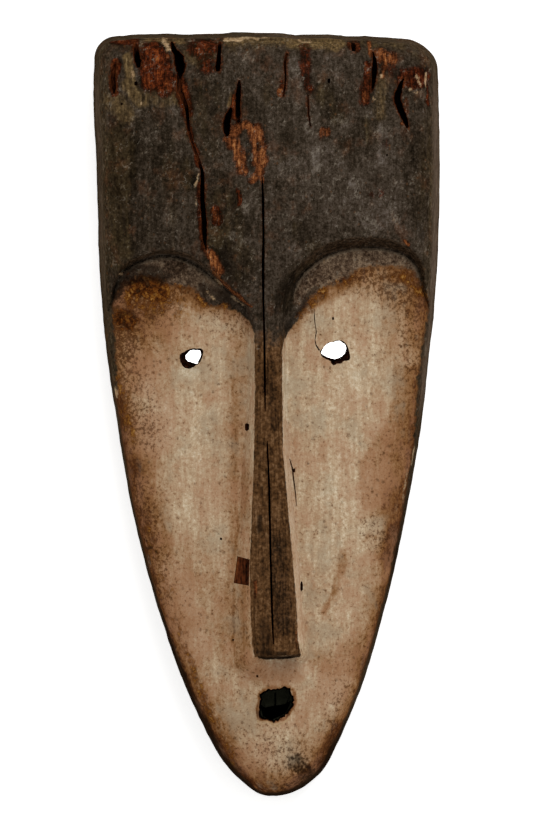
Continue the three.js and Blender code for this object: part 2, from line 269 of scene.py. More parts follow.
def onSide(x, table, at, column=1):
    # a table's value on each side of the mask, read at the given distances
    values = []
    for side in ("left", "right"):
        rows = np.array(table[side], float).T
        values.append(np.interp(at, rows[0], rows[column]))
    return np.where(x < 0, *values)


def wornBack(across, y):
    # how far the edge lies inside the even outline, fading inwards, with small nicks
    worn = blank["worn"]
    top = np.interp(across * blank["template"][0][1], *np.array(worn["top"]).T)
    byTop = smoothstep(worn["topFrom"], blank["halfLength"], y)
    place = y + worn["sideShift"] * across
    nicks = sum(np.abs(uneven(place, 0 * y, [size])) for size in worn["nicks"]) * worn["nickDepth"]
    return (onSide(across, worn, y) + nicks) * np.abs(across) ** 4 * (1 - byTop) + (top + nicks) * byTop


def outlineLine(share, worn=False):
    # the outline in plan, from the rim at 0 to where the front starts at 1
    ys = blank["halfLength"] * np.sin(np.linspace(-1, 1, blank["outlinePoints"]) * math.pi / 2)
    sides = []
    for across in (np.full(ys.shape, 1.0), np.full(ys.shape, -1.0)):
        inset = share * wallLean(ys) + (wornBack(across, ys) if worn else 0)
        sides.append(np.column_stack(outlinePlace(across, ys, inset)))
    return np.vstack([sides[0], sides[1][::-1]])


frontOutline = outlineLine(1)
rimOutline = outlineLine(0, True)
browChain = {name: smoothChain(carving[name], carving["browSteps"]) for name in ("leftBrow", "rightBrow")}
edgeLines = {**{name: np.array(carving[name], float) for name in carving["walls"]}, **browChain}
crownOutline = np.vstack([*[edgeLines[name] for name in carving["walls"]], carving["outside"]])


def edgeDrop(distance, radius):
    inward = np.clip(1 - distance / radius, 0, 1)
    return radius * (1 - np.sqrt(1 - inward * inward))


def smoothMax(a, b, blend):
    h = np.clip(0.5 + 0.5 * (a - b) / blend, 0, 1)
    return b + (a - b) * h + blend * h * (1 - h)


def carvedSurface(x, y):
    # height of the front, and how far a place lies past the brow's crest and beyond its foot
    half = blank["halfLength"]
    reach = np.maximum(halfWidth(np.clip(y, -half, half), x), carving["tipReach"])
    across = np.clip((x - along(blank["template"], 2, y)) / reach, -1, 1)
    rim = np.where(isInside(x, y, frontOutline), 1, 0) * lineDistance(x, y, closed(frontOutline))
    level = {}
    for name in ("crown", "cheek"):
        radius = along(blank[name], 3, y)
        dome = along(blank[name], 1, y) - along(blank[name], 2, y) * across ** 2
        level[name] = dome - edgeDrop(rim, np.minimum(radius, np.maximum(reach, carving["tipRadius"])))
    above = isInside(x, y, crownOutline)
    past, drop, foot = {}, {}, {}
    for name, (slope, endSlope, radius) in carving["walls"].items():
        slope = endSlope + (slope - endSlope) * smoothstep(*carving["wallChange"], y)
        distance = lineDistance(x, y, edgeLines[name])
        outward = np.where(above, -distance, distance)
        past[name] = outward - slope * (carving["edgeLevel"] - level["crown"])
        drop[name] = np.where(past[name] < 0, edgeDrop(-past[name], radius), radius + past[name] / slope)
        foot[name] = past[name] - slope * np.maximum(level["crown"] - radius - level["cheek"], 0)
    drops = np.array(list(drop.values()))
    crown = level["crown"] - np.where(above, drops.max(axis=0), drops.min(axis=0))
    crown = crown + uneven(x, y, carving["crownHandwork"])
    beyond = np.minimum(foot["leftBrow"], foot["rightBrow"])
    brows = np.array([past["leftBrow"], past["rightBrow"]])
    crest = np.where(above, brows.max(axis=0), brows.min(axis=0))
    fade = smoothstep(*carving["grooveFade"], y)
    groove = carving["grooveDepth"] * fade * np.clip(1 - beyond / carving["grooveWidth"], 0, 1)
    cove = carving["coveDepth"] * fade * np.exp(-np.maximum(beyond, 0) / carving["coveReach"])
    cheek = level["cheek"] + cove - groove
    cheek = cheek + uneven(x, y, carving["cheekHandwork"])
    height = smoothMax(cheek, crown, carving["footRounding"])
    ragged = uneven(x, y, flakeEdge["ragged"])
    for width, depth, line in flakes:
        flaked = strokeField(x, y, [(width, 1, line)]) + ragged
        height = height - depth * smoothstep(*flakeEdge["fade"], flaked)
    return height, crest, beyond, fade


def frontHeight(x, y):
    return carvedSurface(x, y)[0]


def selectOnly(piece):
    bpy.ops.object.select_all(action="DESELECT")
    piece.select_set(True)
    bpy.context.view_layer.objects.active = piece


def readPlaces(piece):
    places = np.empty(len(piece.data.vertices) * 3)
    piece.data.vertices.foreach_get("co", places)
    return places.reshape(-1, 3)


def setPlaces(piece, x, y, z):
    piece.data.vertices.foreach_set("co", (np.column_stack([x, y, z]) * mm).ravel())
    piece.data.update()


def openUp(name):
    # names the new primitive and goes into edit mode with all of it selected
    piece = bpy.context.object
    piece.name = piece.data.name = name
    bpy.ops.object.mode_set(mode="EDIT")
    bpy.ops.mesh.select_all(action="SELECT")
    return piece


def drawOut(levels, by):
    for level in range(levels):
        bpy.ops.mesh.extrude_region_move(TRANSFORM_OT_translate={"value": (0, 0, by)})


def closeUp():
    bpy.ops.mesh.select_all(action="SELECT")
    bpy.ops.mesh.normals_make_consistent(inside=False)
    bpy.ops.object.mode_set(mode="OBJECT")


def startDome(name, columns, rows, levels):
    # flat grid from -1 to 1, its border drawn down one level at a time and closed underneath
    bpy.ops.object.select_all(action="DESELECT")
    bpy.ops.mesh.primitive_grid_add(x_subdivisions=columns, y_subdivisions=rows, size=2)
    piece = openUp(name)
    bpy.ops.mesh.select_mode(type="EDGE")
    bpy.ops.mesh.select_all(action="SELECT")
    bpy.ops.mesh.region_to_loop()
    drawOut(levels, -1)
    bpy.ops.mesh.edge_face_add()
    closeUp()
    return piece


def startSlab(name, columns):
    # the same with its whole face drawn down once, for a narrow cutter
    bpy.ops.object.select_all(action="DESELECT")
    bpy.ops.mesh.primitive_grid_add(x_subdivisions=columns, y_subdivisions=1, size=2)
    piece = openUp(name)
    drawOut(1, -1)
    closeUp()
    return piece


def startPlug(name, sides, levels):
    # a disc drawn up one level at a time, for a cutter that runs down into the wood
    bpy.ops.object.select_all(action="DESELECT")
    bpy.ops.mesh.primitive_circle_add(vertices=sides, radius=1, fill_type="NGON")
    piece = openUp(name)
    drawOut(levels, 1)
    closeUp()
    return piece


def gapPlaces(gaps, count, low, high):
    # count + 1 places from low to high, whose spacing follows the stated gaps
    fine = np.linspace(low, high, blank["gapPoints"])
    stated = sorted(gaps)
    density = 1 / np.interp(fine, [g[0] for g in stated], [g[1] for g in stated])
    total = np.concatenate([[0], np.cumsum((density[1:] + density[:-1]) / 2)])
    return np.interp(np.linspace(0, total[-1], count + 1), total, fine)


def carveFront():
    steps = blank["wallSteps"]
    piece = startDome("mask_carving", blank["columns"], blank["rows"], steps)
    u, v, w = readPlaces(piece).T
    rowPlaces = gapPlaces(blank["rowGaps"], blank["rows"], -blank["halfLength"], blank["halfLength"])
    columnPlaces = gapPlaces(blank["columnGaps"], blank["columns"], -1, 1)
    across = columnPlaces[np.rint((u + 1) / 2 * blank["columns"]).astype(int)]
    row = rowPlaces[np.rint((v + 1) / 2 * blank["rows"]).astype(int)]
    share = np.rint(-w) / steps
    top = frontHeight(*outlinePlace(across, row, wallLean(row)))
    worn = wornBack(across, row)
    x, y = outlinePlace(across, row, wallLean(row) + worn)
    z = top * (1 - share)
    # the side wall leans out to the rim, with shallow tool marks that only go in
    inset = wallLean(row) * (1 - share)
    marks = np.abs(uneven(row + across * blank["broadShift"], z, [blank["broadMarks"]]))
    marks = marks + np.abs(uneven(row, z + across * blank["fineShift"], [blank["fineMarks"]]))
    inset = inset + marks * np.sin(np.pi * np.clip(share, 0, 1)) ** 0.5
    wallX, wallY = outlinePlace(across, row, inset + worn)
    setPlaces(piece, np.where(share > 0, wallX, x), np.where(share > 0, wallY, y), z)
    return piece


hollow = {
    "top": 142, "end": -108, "taper": 60, "blunt": 0.99, "corner": 14, "wall": 8, "power": 3.6,
    "topVault": 16, "chinVault": 34, "belowRim": 4,
    # distance along, height of the roof over the rim
    "roof": [(142, 36), (108, 38.5), (90, 36), (72, 28.5), (52, 28.5), (20, 30), (-60, 30), (-108, 25)],
    "columns": 70, "rows": 120,
}
# Overlapping scallops of a gouge, deepest in the middle of each stroke, in lanes that wander
gouge = {
    "across": 9, "length": 24, "depth": 0.7, "stagger": 0.5, "shape": (0.55, 0.45), "fade": (2, 12),
    "laneWander": [(0.35, 30, 21)], "strokeWander": [(0.3, 22, 22)],
}


def vault(share):
    power = hollow["power"]
    return (1 - np.clip(np.abs(share), 0, 1) ** power) ** (1 / power)


def hollowCutter():
    piece = startDome("hollowCutter", hollow["columns"], hollow["rows"], 1)
    u, v, w = readPlaces(piece).T
    t = (np.sin(v * math.pi / 2) + 1) / 2
    y = hollow["end"] + (hollow["top"] - hollow["end"]) * t
    into = np.clip((hollow["end"] + hollow["taper"] - y) / hollow["taper"], 0, hollow["blunt"])
    widest = along(blank["template"], 1, y) - hollow["wall"]
    widest = widest - cornerCut(y + blank["halfLength"] - hollow["top"], hollow["corner"])
    across = np.sin(u * math.pi / 2)
    x = along(blank["template"], 2, y) + across * widest * np.sqrt(1 - into * into)
    height = along(hollow["roof"], 1, y) * vault(across)
    height = height * vault(np.maximum(1 - (hollow["top"] - y) / hollow["topVault"], 0))
    height = height * vault(np.maximum(1 - (y - hollow["end"]) / hollow["chinVault"], 0))
    lane = x / gouge["across"] + uneven(x, y, gouge["laneWander"])
    stroke = y / gouge["length"] + gouge["stagger"] * np.floor(lane) + uneven(x, y, gouge["strokeWander"])
    least, more = gouge["shape"]
    scallop = np.abs(np.sin(math.pi * lane)) * (least + more * np.abs(np.sin(math.pi * stroke)))
    height = height - gouge["depth"] * (1 - scallop) * smoothstep(*gouge["fade"], height)
    setPlaces(piece, x, y, np.where(w < -0.5, -hollow["belowRim"], height))
    return piece


# Outlines of what was bored and chipped through the face: at the surface and deeper in
eyes = {
    "leftEye": {
        "middle": (-29.3, 21.6),
        "front": [
            (-33.9, 23.1), (-33.5, 23.7), (-32.0, 24.3), (-30.8, 25.1), (-29.6, 25.5), (-27.3, 25.5),
            (-25.7, 25.7), (-24.7, 24.7), (-24.9, 23.1), (-25.3, 21.6), (-26.1, 20.0), (-27.6, 19.0),
            (-29.2, 18.0), (-31.2, 17.6), (-32.4, 18.4), (-33.3, 19.6), (-33.9, 21.2),
        ],
        "back": [
            (-31.6, 23.1), (-30.8, 23.7), (-29.8, 24.7), (-27.6, 24.9), (-25.9, 24.8), (-25.7, 23.1),
            (-26.1, 21.8), (-26.7, 20.8), (-27.1, 19.6), (-28.4, 19.9), (-29.6, 20.4), (-30.8, 20.7),
            (-31.5, 21.6),
        ],
    },
    "rightEye": {
        "middle": (26.7, 24),
        "front": [
            (20.8, 24.3), (21.8, 25.3), (22.9, 26.5), (23.7, 27.5), (25.3, 28.0), (26.9, 28.6),
            (28.8, 28.8), (30.4, 28.0), (31.2, 27.1), (31.8, 25.9), (32.4, 24.3), (32.7, 22.7),
            (32.7, 21.2), (31.6, 20.8), (30.0, 20.6), (29.2, 19.8), (27.3, 19.7), (26.3, 18.8),
            (25.7, 19.2), (25.1, 20.4), (24.1, 21.2), (22.5, 21.8), (21.4, 22.4), (21.2, 23.3),
        ],
        "back": [
            (21.0, 24.3), (22.2, 25.5), (23.1, 26.7), (23.9, 27.6), (26.1, 28.0), (28.0, 28.6),
            (30.0, 27.8), (31.0, 26.7), (31.0, 25.1), (30.4, 23.5), (29.6, 22.5), (28.4, 22.0),
            (26.1, 21.6), (24.1, 22.2), (22.5, 22.9), (21.4, 23.5),
        ],
    },
    "sides": 44,
    "ragged": (0.12, 0.1),
    "lip": 1,
    "wall": 4.5,  # depth at which the hole has narrowed to its back outline
    "backZ": 22,
    "reach": 9,  # how far from the middle its own wall can be
}
mouth = {
    "front": [
        (-2.5, -109.8), (-1.8, -109.0), (0.2, -108.0), (1.4, -107.5), (2.9, -107.3), (5.7, -107.3),
        (6.9, -106.6), (8.0, -106.7), (9.2, -107.5), (10.0, -108.6), (10.4, -110.2), (10.8, -111.8),
        (10.4, -113.7), (10.0, -114.9), (9.0, -116.1), (8.0, -117.6), (6.9, -118.6), (5.3, -119.2),
        (3.7, -120.2), (2.4, -120.8), (1.4, -120.2), (-0.2, -119.6), (-1.8, -119.3), (-2.7, -118.8),
        (-3.1, -116.9), (-3.2, -114.9), (-2.5, -113.7), (-2.5, -111.8),
    ],
    "middle": (3.8, -113.6),
    "floorShare": 0.88,
    "floorZ": 25.5,
    "floorStep": 0.5,
    "lipZ": 33.5,
    "sides": 60,
    "ragged": 0.45,
}
# The mouth's floor drops away in its lower half and along a slit, and a squared chip is gone beside the
# nose: corners, lowest and highest place of the cut, rise of its floor to the right
squareCuts = {
    "lowerMouth": (
        [
            (-2.6, -113.6), (-0.6, -114.9), (1.8, -114.4), (4.4, -115.1), (6.8, -113.6), (9.6, -112.2),
            (9.2, -114.4), (8.0, -116.4), (6.2, -117.8), (4.2, -119), (2.4, -119.6), (0.4, -119),
            (-1.4, -118.4), (-2.5, -116.6),
        ],
        16, 34, 0,
    ),
    "mouthSlit": ([(3.1, -114.8), (3.1, -109), (3.8, -109), (3.8, -114.8)], 20, 27, 0),
    "chip": ([(-12.8, -66.1), (-6.9, -67.1), (-6.6, -56.8), (-11.4, -55.6)], 36.8, aboveAll, 0.75),
}


def ringAt(outline, sides, ragged, seed):
    # evenly spaced points round a closed outline, each shifted a little, starting from its right side
    points = np.array(outline, float)
    middle = points.mean(axis=0)
    angles = np.arctan2(points[:, 1] - middle[1], points[:, 0] - middle[0])
    order = np.argsort(angles)
    radii = np.hypot(*(points - middle).T)[order]
    turn = np.linspace(0, 2 * math.pi, sides, endpoint=False)
    radius = np.interp(turn, angles[order], radii, period=2 * math.pi)
    radius = radius + ragged * np.random.default_rng(seed).uniform(-1, 1, sides)
    return middle[0] + radius * np.cos(turn), middle[1] + radius * np.sin(turn)


def plugCutter(name, rings):
    # rings from the deepest up: outline, height
    sides = len(rings[0][0][0])
    piece = startPlug(name, sides, len(rings) - 1)
    px, py, pz = readPlaces(piece).T
    k = np.rint((np.arctan2(py, px) % (2 * math.pi)) / (2 * math.pi) * sides).astype(int) % sides
    level = np.rint(pz).astype(int)
    ringX = np.array([ring[0][0] for ring in rings])
    ringY = np.array([ring[0][1] for ring in rings])
    ringZ = np.array([np.broadcast_to(ring[1], sides) for ring in rings])
    setPlaces(piece, ringX[level, k], ringY[level, k], ringZ[level, k])
    return piece


def eyeCutter(name, seed):
    frontRagged, backRagged = eyes["ragged"]
    front = ringAt(eyes[name]["front"], eyes["sides"], frontRagged, seed)
    back = ringAt(eyes[name]["back"], eyes["sides"], backRagged, seed + 1)
    surface = float(frontHeight(*front).mean())
    return plugCutter(name + "Cutter", [
        (back, eyes["backZ"]),
        (back, surface - eyes["wall"]),
        (front, surface - eyes["lip"]),
        (front, aboveAll),
    ])


def mouthCutter(seed):
    front = ringAt(mouth["front"], mouth["sides"], mouth["ragged"], seed)
    cx, cy = mouth["middle"]
    share = mouth["floorShare"]
    floor = (cx + (front[0] - cx) * share, cy + (front[1] - cy) * share)
    return plugCutter("mouthCutter", [
        (floor, mouth["floorZ"]),
        (floor, mouth["floorZ"] + mouth["floorStep"]),
        (front, mouth["lipZ"]),
        (front, aboveAll),
    ])


def squareCutter(name):
    corners, low, high, rise = squareCuts[name]
    corners = np.array(corners, float)
    start = np.argmin(np.arctan2(*(corners - corners.mean(axis=0)).T[::-1]) % (2 * math.pi))
    ring = np.roll(corners, -start, axis=0).T
    return plugCutter(name + "Cutter", [(ring, low + rise * (ring[0] - ring[0].min())), (ring, high)])


# Open splits and insect galleries: points of the centre line, each with its half width and depth
splits = {
    "centreSplitHigh": [
        (-1.8, 92.4, 0.2, 3), (-1.5, 87.3, 0.4, 9), (-1.3, 80.8, 0.55, 9), (-1.2, 67.8, 0.5, 9),
        (-1.3, 61.3, 0.6, 9), (-1.3, 52, 0.6, 9), (-1.25, 45, 0.45, 9), (-0.9, 32, 0.42, 8),
        (-0.65, 14, 0.45, 8), (-0.6, 7, 0.38, 5), (-0.5, 1, 0.2, 2),
    ],
    "centreSplitLow": [
        (0.3, -10.5, 0.15, 2), (0.4, -14, 0.35, 5), (0.95, -27, 0.42, 8), (1.3, -42, 0.45, 8),
        (1.6, -56, 0.42, 8), (2.0, -71, 0.45, 8), (2.45, -84, 0.4, 6), (2.75, -89.8, 0.25, 3),
    ],
    "leftSplitTop": [
        (-37.6, 147.4, 0.5, 2), (-36.8, 144.4, 0.9, 5), (-35.9, 141.8, 1.2, 7), (-34.2, 139.2, 2.0, 8),
        (-33.7, 135.6, 2.2, 8), (-33.7, 133, 1.5, 6), (-34.1, 130.6, 1.2, 3), (-34, 127.4, 1.2, 2.2),
        (-33, 124.2, 1.2, 2.2), (-31.6, 121, 1.0, 2.8), (-31, 117.4, 0.85, 4.5), (-30.6, 113.6, 0.75, 4),
        (-30.1, 110, 0.7, 2.2), (-28.6, 105, 0.6, 1.8),
    ],
    "leftSplitLow": [
        (-28.9, 106, 0.6, 1.6), (-27.4, 101.5, 0.65, 1.6), (-26.2, 98, 0.7, 2.2), (-25.2, 94.6, 0.75, 5),
        (-25, 89.9, 0.95, 7), (-25.1, 84, 1.05, 7), (-24.7, 79.1, 1.1, 7), (-24.3, 74.3, 1.15, 7),
        (-24.2, 69.4, 1.05, 6), (-24, 66.6, 0.75, 4), (-23.5, 64, 0.3, 2),
    ],
    "galleryA": [
        (-51.6, 146.6, 1.0, 1.6), (-51, 142.6, 1.3, 3), (-50.6, 139.5, 1.5, 6), (-50.1, 136.7, 1.3, 6),
        (-49.9, 135.2, 0.6, 5),
    ],
    "galleryB": [
        (-59.0, 136.6, 0.5, 1.4), (-60.0, 132.6, 1.1, 2.6), (-59.7, 128.6, 1.2, 3.4),
        (-59.5, 125, 0.6, 2.4),
    ],
    "galleryC": [
        (-18.2, 147.2, 0.8, 3), (-18.3, 143, 0.9, 5), (-18.7, 138.4, 1.0, 6), (-19, 135, 1.15, 6),
        (-19, 133.6, 0.7, 4),
    ],
    "galleryD": [
        (-10.6, 130.3, 0.3, 2), (-10.8, 127.4, 1.0, 5), (-11.1, 123, 1.25, 6), (-11.2, 118.4, 1.2, 5),
        (-11.1, 114.8, 1.0, 3.4), (-11, 113.2, 0.5, 2.4),
    ],
    "galleryE": [
        (-13.6, 119.4, 0.5, 3), (-14.8, 116.5, 1.5, 6), (-15.5, 113.2, 1.65, 7), (-15.5, 110.2, 1.4, 6),
        (-15.4, 108.4, 0.7, 5),
    ],
    "galleryF": [(33.5, 147.2, 1.2, 2.4), (33.7, 145, 1.35, 5), (34, 143, 1.3, 5), (34, 141.6, 0.8, 4)],
    "galleryG": [
        (41.5, 141.4, 0.3, 1.6), (42.2, 137.8, 0.9, 5), (42.1, 134.3, 1.3, 6), (41.9, 131, 1.1, 6),
        (41.6, 128.4, 0.8, 4), (41.1, 125.7, 0.3, 2),
    ],
    "galleryH": [
        (53.6, 131, 0.3, 3), (52.4, 128.5, 0.9, 5), (51.6, 125.6, 1.4, 6), (51.1, 123, 1.75, 6),
        (51.8, 120.4, 1.55, 6), (52.8, 117.8, 1.4, 6), (53.9, 115.2, 1.3, 6), (54.8, 112.8, 0.8, 5),
        (55, 111.6, 0.4, 4),
    ],
    "galleryI": [
        (8.1, 140.8, 0.4, 1.5), (7.2, 137.2, 0.6, 2.5), (7.4, 132, 0.4, 3), (7.2, 128, 0.4, 3),
        (6.5, 124, 0.45, 2),
    ],
    "galleryJ": [(16.2, 124.6, 0.25, 1.5), (16.4, 118, 0.38, 2.5), (17.1, 112.2, 0.3, 2)],
    "eyeHairline": [
        (18.6, 41.2, 0.1, 1), (18.8, 36.9, 0.2, 1.5), (19.2, 33.8, 0.12, 1.5), (19.4, 31.8, 0.24, 2),
        (19.0, 29.0, 0.14, 2), (19.4, 26.9, 0.22, 2), (20.7, 24.8, 0.3, 2.5),
    ],
    "noseHairline": [
        (9.1, -17.6, 0.15, 1), (10.1, -21.5, 0.28, 1.6), (10.5, -25, 0.3, 1.6), (11.3, -31, 0.2, 1.4),
        (11.7, -36, 0.12, 1),
    ],
}
splitForm = {
    "headroom": 3,
    "floorShare": 0.45,
    "ragged": 0.14,
    "step": 0.8,
    "measureSteps": 60,
    "leastSteps": 6,
    "leastWidth": 0.1,
    "leastDepth": 0.8,
    # its depth is measured from the front here, before that drops to the edge
    "within": (-149, 143),
}


def splitCutter(name, seed):
    stated = splits[name]
    line = smoothChain(stated, splitForm["measureSteps"])
    length = np.hypot(*np.diff(line[:, :2], axis=0).T).sum()
    steps = max(int(length / splitForm["step"]), splitForm["leastSteps"])
    line = smoothChain(stated, steps)
    piece = startSlab(name + "Cutter", steps)
    u, v, w = readPlaces(piece).T
    k = np.rint((u + 1) / 2 * steps).astype(int)
    tangent = np.gradient(line[:, :2], axis=0)
    tangent = tangent / np.hypot(*tangent.T)[:, None]
    rng = np.random.default_rng(seed)
    rough = 1 + splitForm["ragged"] * rng.uniform(-1, 1, (2, steps + 1))
    side = np.where(v > 0, 1, -1)
    depth = np.maximum(line[k, 3], splitForm["leastDepth"])
    width = np.maximum(line[k, 2], splitForm["leastWidth"]) * rough[(side > 0).astype(int), k]
    low = w < -0.5
    floor = splitForm["floorShare"]
    width = width * np.where(low, floor, 1 + (1 - floor) * splitForm["headroom"] / depth)
    x = line[k, 0] - tangent[k, 1] * side * width
    y = line[k, 1] + tangent[k, 0] * side * width
    surface = frontHeight(line[:, 0], np.clip(line[:, 1], *splitForm["within"]))[k]
    setPlaces(piece, x, y, surface + np.where(low, -depth, splitForm["headroom"]))
    return piece


# Small round holes that insects left: place, radii, depth
wormHoles = [
    (-7.6, -5.1, 1.0, 1.7, 2.5), (-17.8, -48.8, 0.5, 0.5, 1.5), (13.7, -67.4, 0.6, 1.9, 2.5),
    (10.8, -22, 0.5, 0.9, 1.5), (24.3, 130, 0.7, 1.0, 3), (-51, 129, 0.8, 0.9, 2.5),
    (26, 37.3, 0.45, 0.6, 1.5), (-3.6, -102.5, 0.45, 0.5, 1.5), (-13, -88.3, 0.45, 0.45, 1.2),
    (-56.5, 121, 0.5, 0.5, 1.5), (47, 101, 0.45, 0.5, 2),
]
holeForm = {"sides": 10, "ragged": 0.16, "headroom": 3}


def holeCutter(number, seed):
    cx, cy, rx, ry, depth = wormHoles[number]
    sides = holeForm["sides"]
    turn = np.linspace(0, 2 * math.pi, sides, endpoint=False)
    rough = 1 + holeForm["ragged"] * np.random.default_rng(seed).uniform(-1, 1, sides)
    ring = (cx + rx * rough * np.cos(turn), cy + ry * rough * np.sin(turn))
    surface = float(frontHeight(np.array([cx]), np.array([cy]))[0])
    top = surface + holeForm["headroom"]
    return plugCutter(f"holeCutter{number}", [(ring, surface - depth), (ring, top)])


def cutAway(piece, cutter, finish):
    # the cut faces take the cutter's finish
    cutter.data.materials.append(finish)
    selectOnly(piece)
    cut = piece.modifiers.new("cut", "BOOLEAN")
    cut.operation = "DIFFERENCE"
    cut.solver = "MANIFOLD"
    cut.material_mode = "TRANSFER"
    cut.object = cutter
    bpy.ops.object.modifier_apply(modifier=cut.name)
    bpy.data.objects.remove(cutter)


def hexColor(code):
    # sRGB hex to the linear colour that the shader takes
    channels = [int(code[k:k + 2], 16) / 255 for k in (0, 2, 4)]
    return tuple(c / 12.92 if c <= 0.04045 else ((c + 0.055) / 1.055) ** 2.4 for c in channels) + (1,)


def addNode(tree, kind, links=None, **settings):
    made = tree.nodes.new("ShaderNode" + kind)
    for name, value in settings.items():
        setattr(made, name, value)
    for socket, value in (links or {}).items():
        if isinstance(value, bpy.types.NodeSocket):
            tree.links.new(value, made.inputs[socket])
        else:
            made.inputs[socket].default_value = value
    return made


# A noise has a kind, the size of its grain in mm, how much longer it is along the mask, its octaves and
# its turn in degrees. A cloud runs about 0, a line is 1 on thin curved scratches, a stroke is 1 on short
# straight ones, and a dot is 1 in small scattered pits, its octaves being the share of cells with one
patternForm = {
    "apart": (7.3, 3.1, 1.7),  # between one noise's place and the next one's
    "roughness": 0.62,
    # where each kind goes from 0 to 1: in a cell's size, in mm from the line, in the noise's own value
    "dot": (0.34, 0.16),
    "line": (0.08, 0.02),
    "stroke": (0.1, 0.17),
}


def patternSource(tree, place, number, kind, grain, longer, octaves, turn=0):
    per = 1 / mm / grain
    if turn:
        turned = addNode(tree, "Mapping", {"Vector": place, "Rotation": (0, 0, math.radians(turn))})
        place = turned.outputs[0]
    scaled = addNode(tree, "Mapping", {
        "Vector": place,
        "Location": [step * number for step in patternForm["apart"]],
        "Scale": (per, per / longer, per),
    }).outputs[0]
    if kind == "dot":
        cells = addNode(tree, "TexVoronoi", {"Vector": scaled, "Scale": 1, "Randomness": 1})
        low, high = patternForm["dot"]
        away = cells.outputs["Distance"]
        pit = addNode(tree, "MapRange", {"Value": away, "From Min": low, "From Max": high})
        picked = addNode(tree, "SeparateColor", {"Color": cells.outputs["Color"]})
        some = addNode(tree, "Math", {0: picked.outputs["Red"], 1: octaves}, operation="LESS_THAN")
        kept = addNode(tree, "Math", {0: pit.outputs[0], 1: some.outputs[0]}, operation="MULTIPLY")
        return kept.outputs[0]
    noise = addNode(tree, "TexNoise", {
        "Vector": scaled, "Scale": 1, "Detail": octaves, "Roughness": patternForm["roughness"],
    })
    cloud = addNode(tree, "Math", {0: noise.outputs["Fac"], 1: 0.5}, operation="SUBTRACT").outputs[0]
    if kind == "cloud":
        return cloud
    low, high = patternForm[kind]
    if kind == "line":
        cloud = addNode(tree, "Math", {0: cloud}, operation="ABSOLUTE").outputs[0]
        low, high = low / grain, high / grain
    return addNode(tree, "MapRange", {"Value": cloud, "From Min": low, "From Max": high}).outputs[0]


# Each layer has a tone, which is a sum of noises and painted fields read through a ramp of colours. All
# but the first lie over the ones before where their mask, a sum of the same kind, rises through its span
def layeredFinish(name, noises, layers, relief, roughness, specular):
    material = bpy.data.materials.new(name)
    material.use_nodes = True
    tree = material.node_tree
    shader = tree.nodes["Principled BSDF"]
    shader.inputs["Specular IOR Level"].default_value = specular
    place = addNode(tree, "TexCoord").outputs["Object"]
    sources = {}
    for number, (key, noise) in enumerate(noises.items()):
        sources[key] = patternSource(tree, place, number, *noise)

    def total(parts):
        result = parts.get("start", 0.0)
        for key, weight in parts.items():
            if key == "start":
                continue
            if key not in sources:
                sources[key] = addNode(tree, "Attribute", attribute_name=key).outputs["Fac"]
            terms = {0: sources[key], 1: weight, 2: result}
            result = addNode(tree, "Math", terms, operation="MULTIPLY_ADD").outputs[0]
        return result

    color = None
    for layer in layers:
        ramp = addNode(tree, "ValToRGB", {"Fac": total(layer["tone"])})
        stops = ramp.color_ramp.elements
        for at, code in layer["ramp"][2:]:
            stops.new(at)
        for stop, (at, code) in zip(stops, layer["ramp"]):
            stop.position = at
            stop.color = hexColor(code)
        if "mask" not in layer:
            color = ramp.outputs[0]
            continue
        low, high = layer["span"]
        amount = layer.get("amount", 1)
        covered = addNode(tree, "MapRange", {
            "Value": total(layer["mask"]), "From Min": low, "From Max": high, "To Max": amount,
        }, interpolation_type="SMOOTHSTEP").outputs[0]
        sources[layer["name"] + "Mask"] = covered
        mixed = addNode(tree, "MixRGB", {"Fac": covered, "Color1": color, "Color2": ramp.outputs[0]})
        color = mixed.outputs[0]
    tree.links.new(color, shader.inputs["Base Color"])
    bump = addNode(tree, "Bump", {"Strength": 1, "Distance": mm, "Height": total(relief)})
    tree.links.new(bump.outputs[0], shader.inputs["Normal"])
    if len(roughness) > 1:
        tree.links.new(total(roughness), shader.inputs["Roughness"])
    else:
        shader.inputs["Roughness"].default_value = roughness["start"]
    return material


woodRamp = [
    (0, "060403"), (0.2, "140f09"), (0.4, "2a2219"), (0.6, "453b31"), (0.8, "605750"), (1, "8d867d"),
]
clayRamp = [
    (0, "d2c1a6"), (0.1, "bea88a"), (0.2, "ae9375"), (0.35, "9b7a5a"), (0.5, "86603d"), (0.62, "734d2c"),
    (0.72, "603b20"), (0.84, "452612"), (0.93, "2d1508"), (1, "190b04"),
]
tornRamp = [
    (0, "0a0503"), (0.25, "291308"), (0.45, "4c2612"), (0.65, "754222"), (0.85, "9a6236"), (1, "c08c59"),
]
redRamp = [
    (0, "0a0402"), (0.25, "2b1006"), (0.45, "50200c"), (0.65, "7c3c17"), (0.85, "a05c2b"), (1, "c48c55"),
]

# Smoke-darkened, stained softwood under a skin of kaolin: dull, with rubbed highlights on the wood, and a
# dry chalky crust on the face that turns brown where hands and damp have worn it; painted shade and
# painted highlights lie along its edges, brow grooves and nose
frontNoises = {
    "cloud": ("cloud", 24, 1.3, 2), "patch": ("cloud", 8, 1.4, 3), "mottle": ("cloud", 3.2, 1.3, 4),
    "speckle": ("cloud", 1.15, 1.15, 3), "grit": ("cloud", 1.7, 1.2, 5), "fibre": ("cloud", 0.9, 14, 3),
    "streak": ("cloud", 3.0, 11, 3), "brush": ("cloud", 1.6, 9, 4), "scratch": ("line", 5, 1.2, 2.5),
    "strokeUp": ("stroke", 0.75, 5, 1.5, 24), "strokeFlat": ("stroke", 0.7, 4.5, 1.5, 78),
    "pit": ("dot", 2.3, 1.2, 0.3), "finePit": ("dot", 1.2, 1.1, 0.3), "stain": ("cloud", 11, 1.2, 4),
    "tint": ("cloud", 15, 1, 3), "dust": ("cloud", 0.55, 1.1, 2), "crackle": ("line", 2.0, 0.9, 3),
}
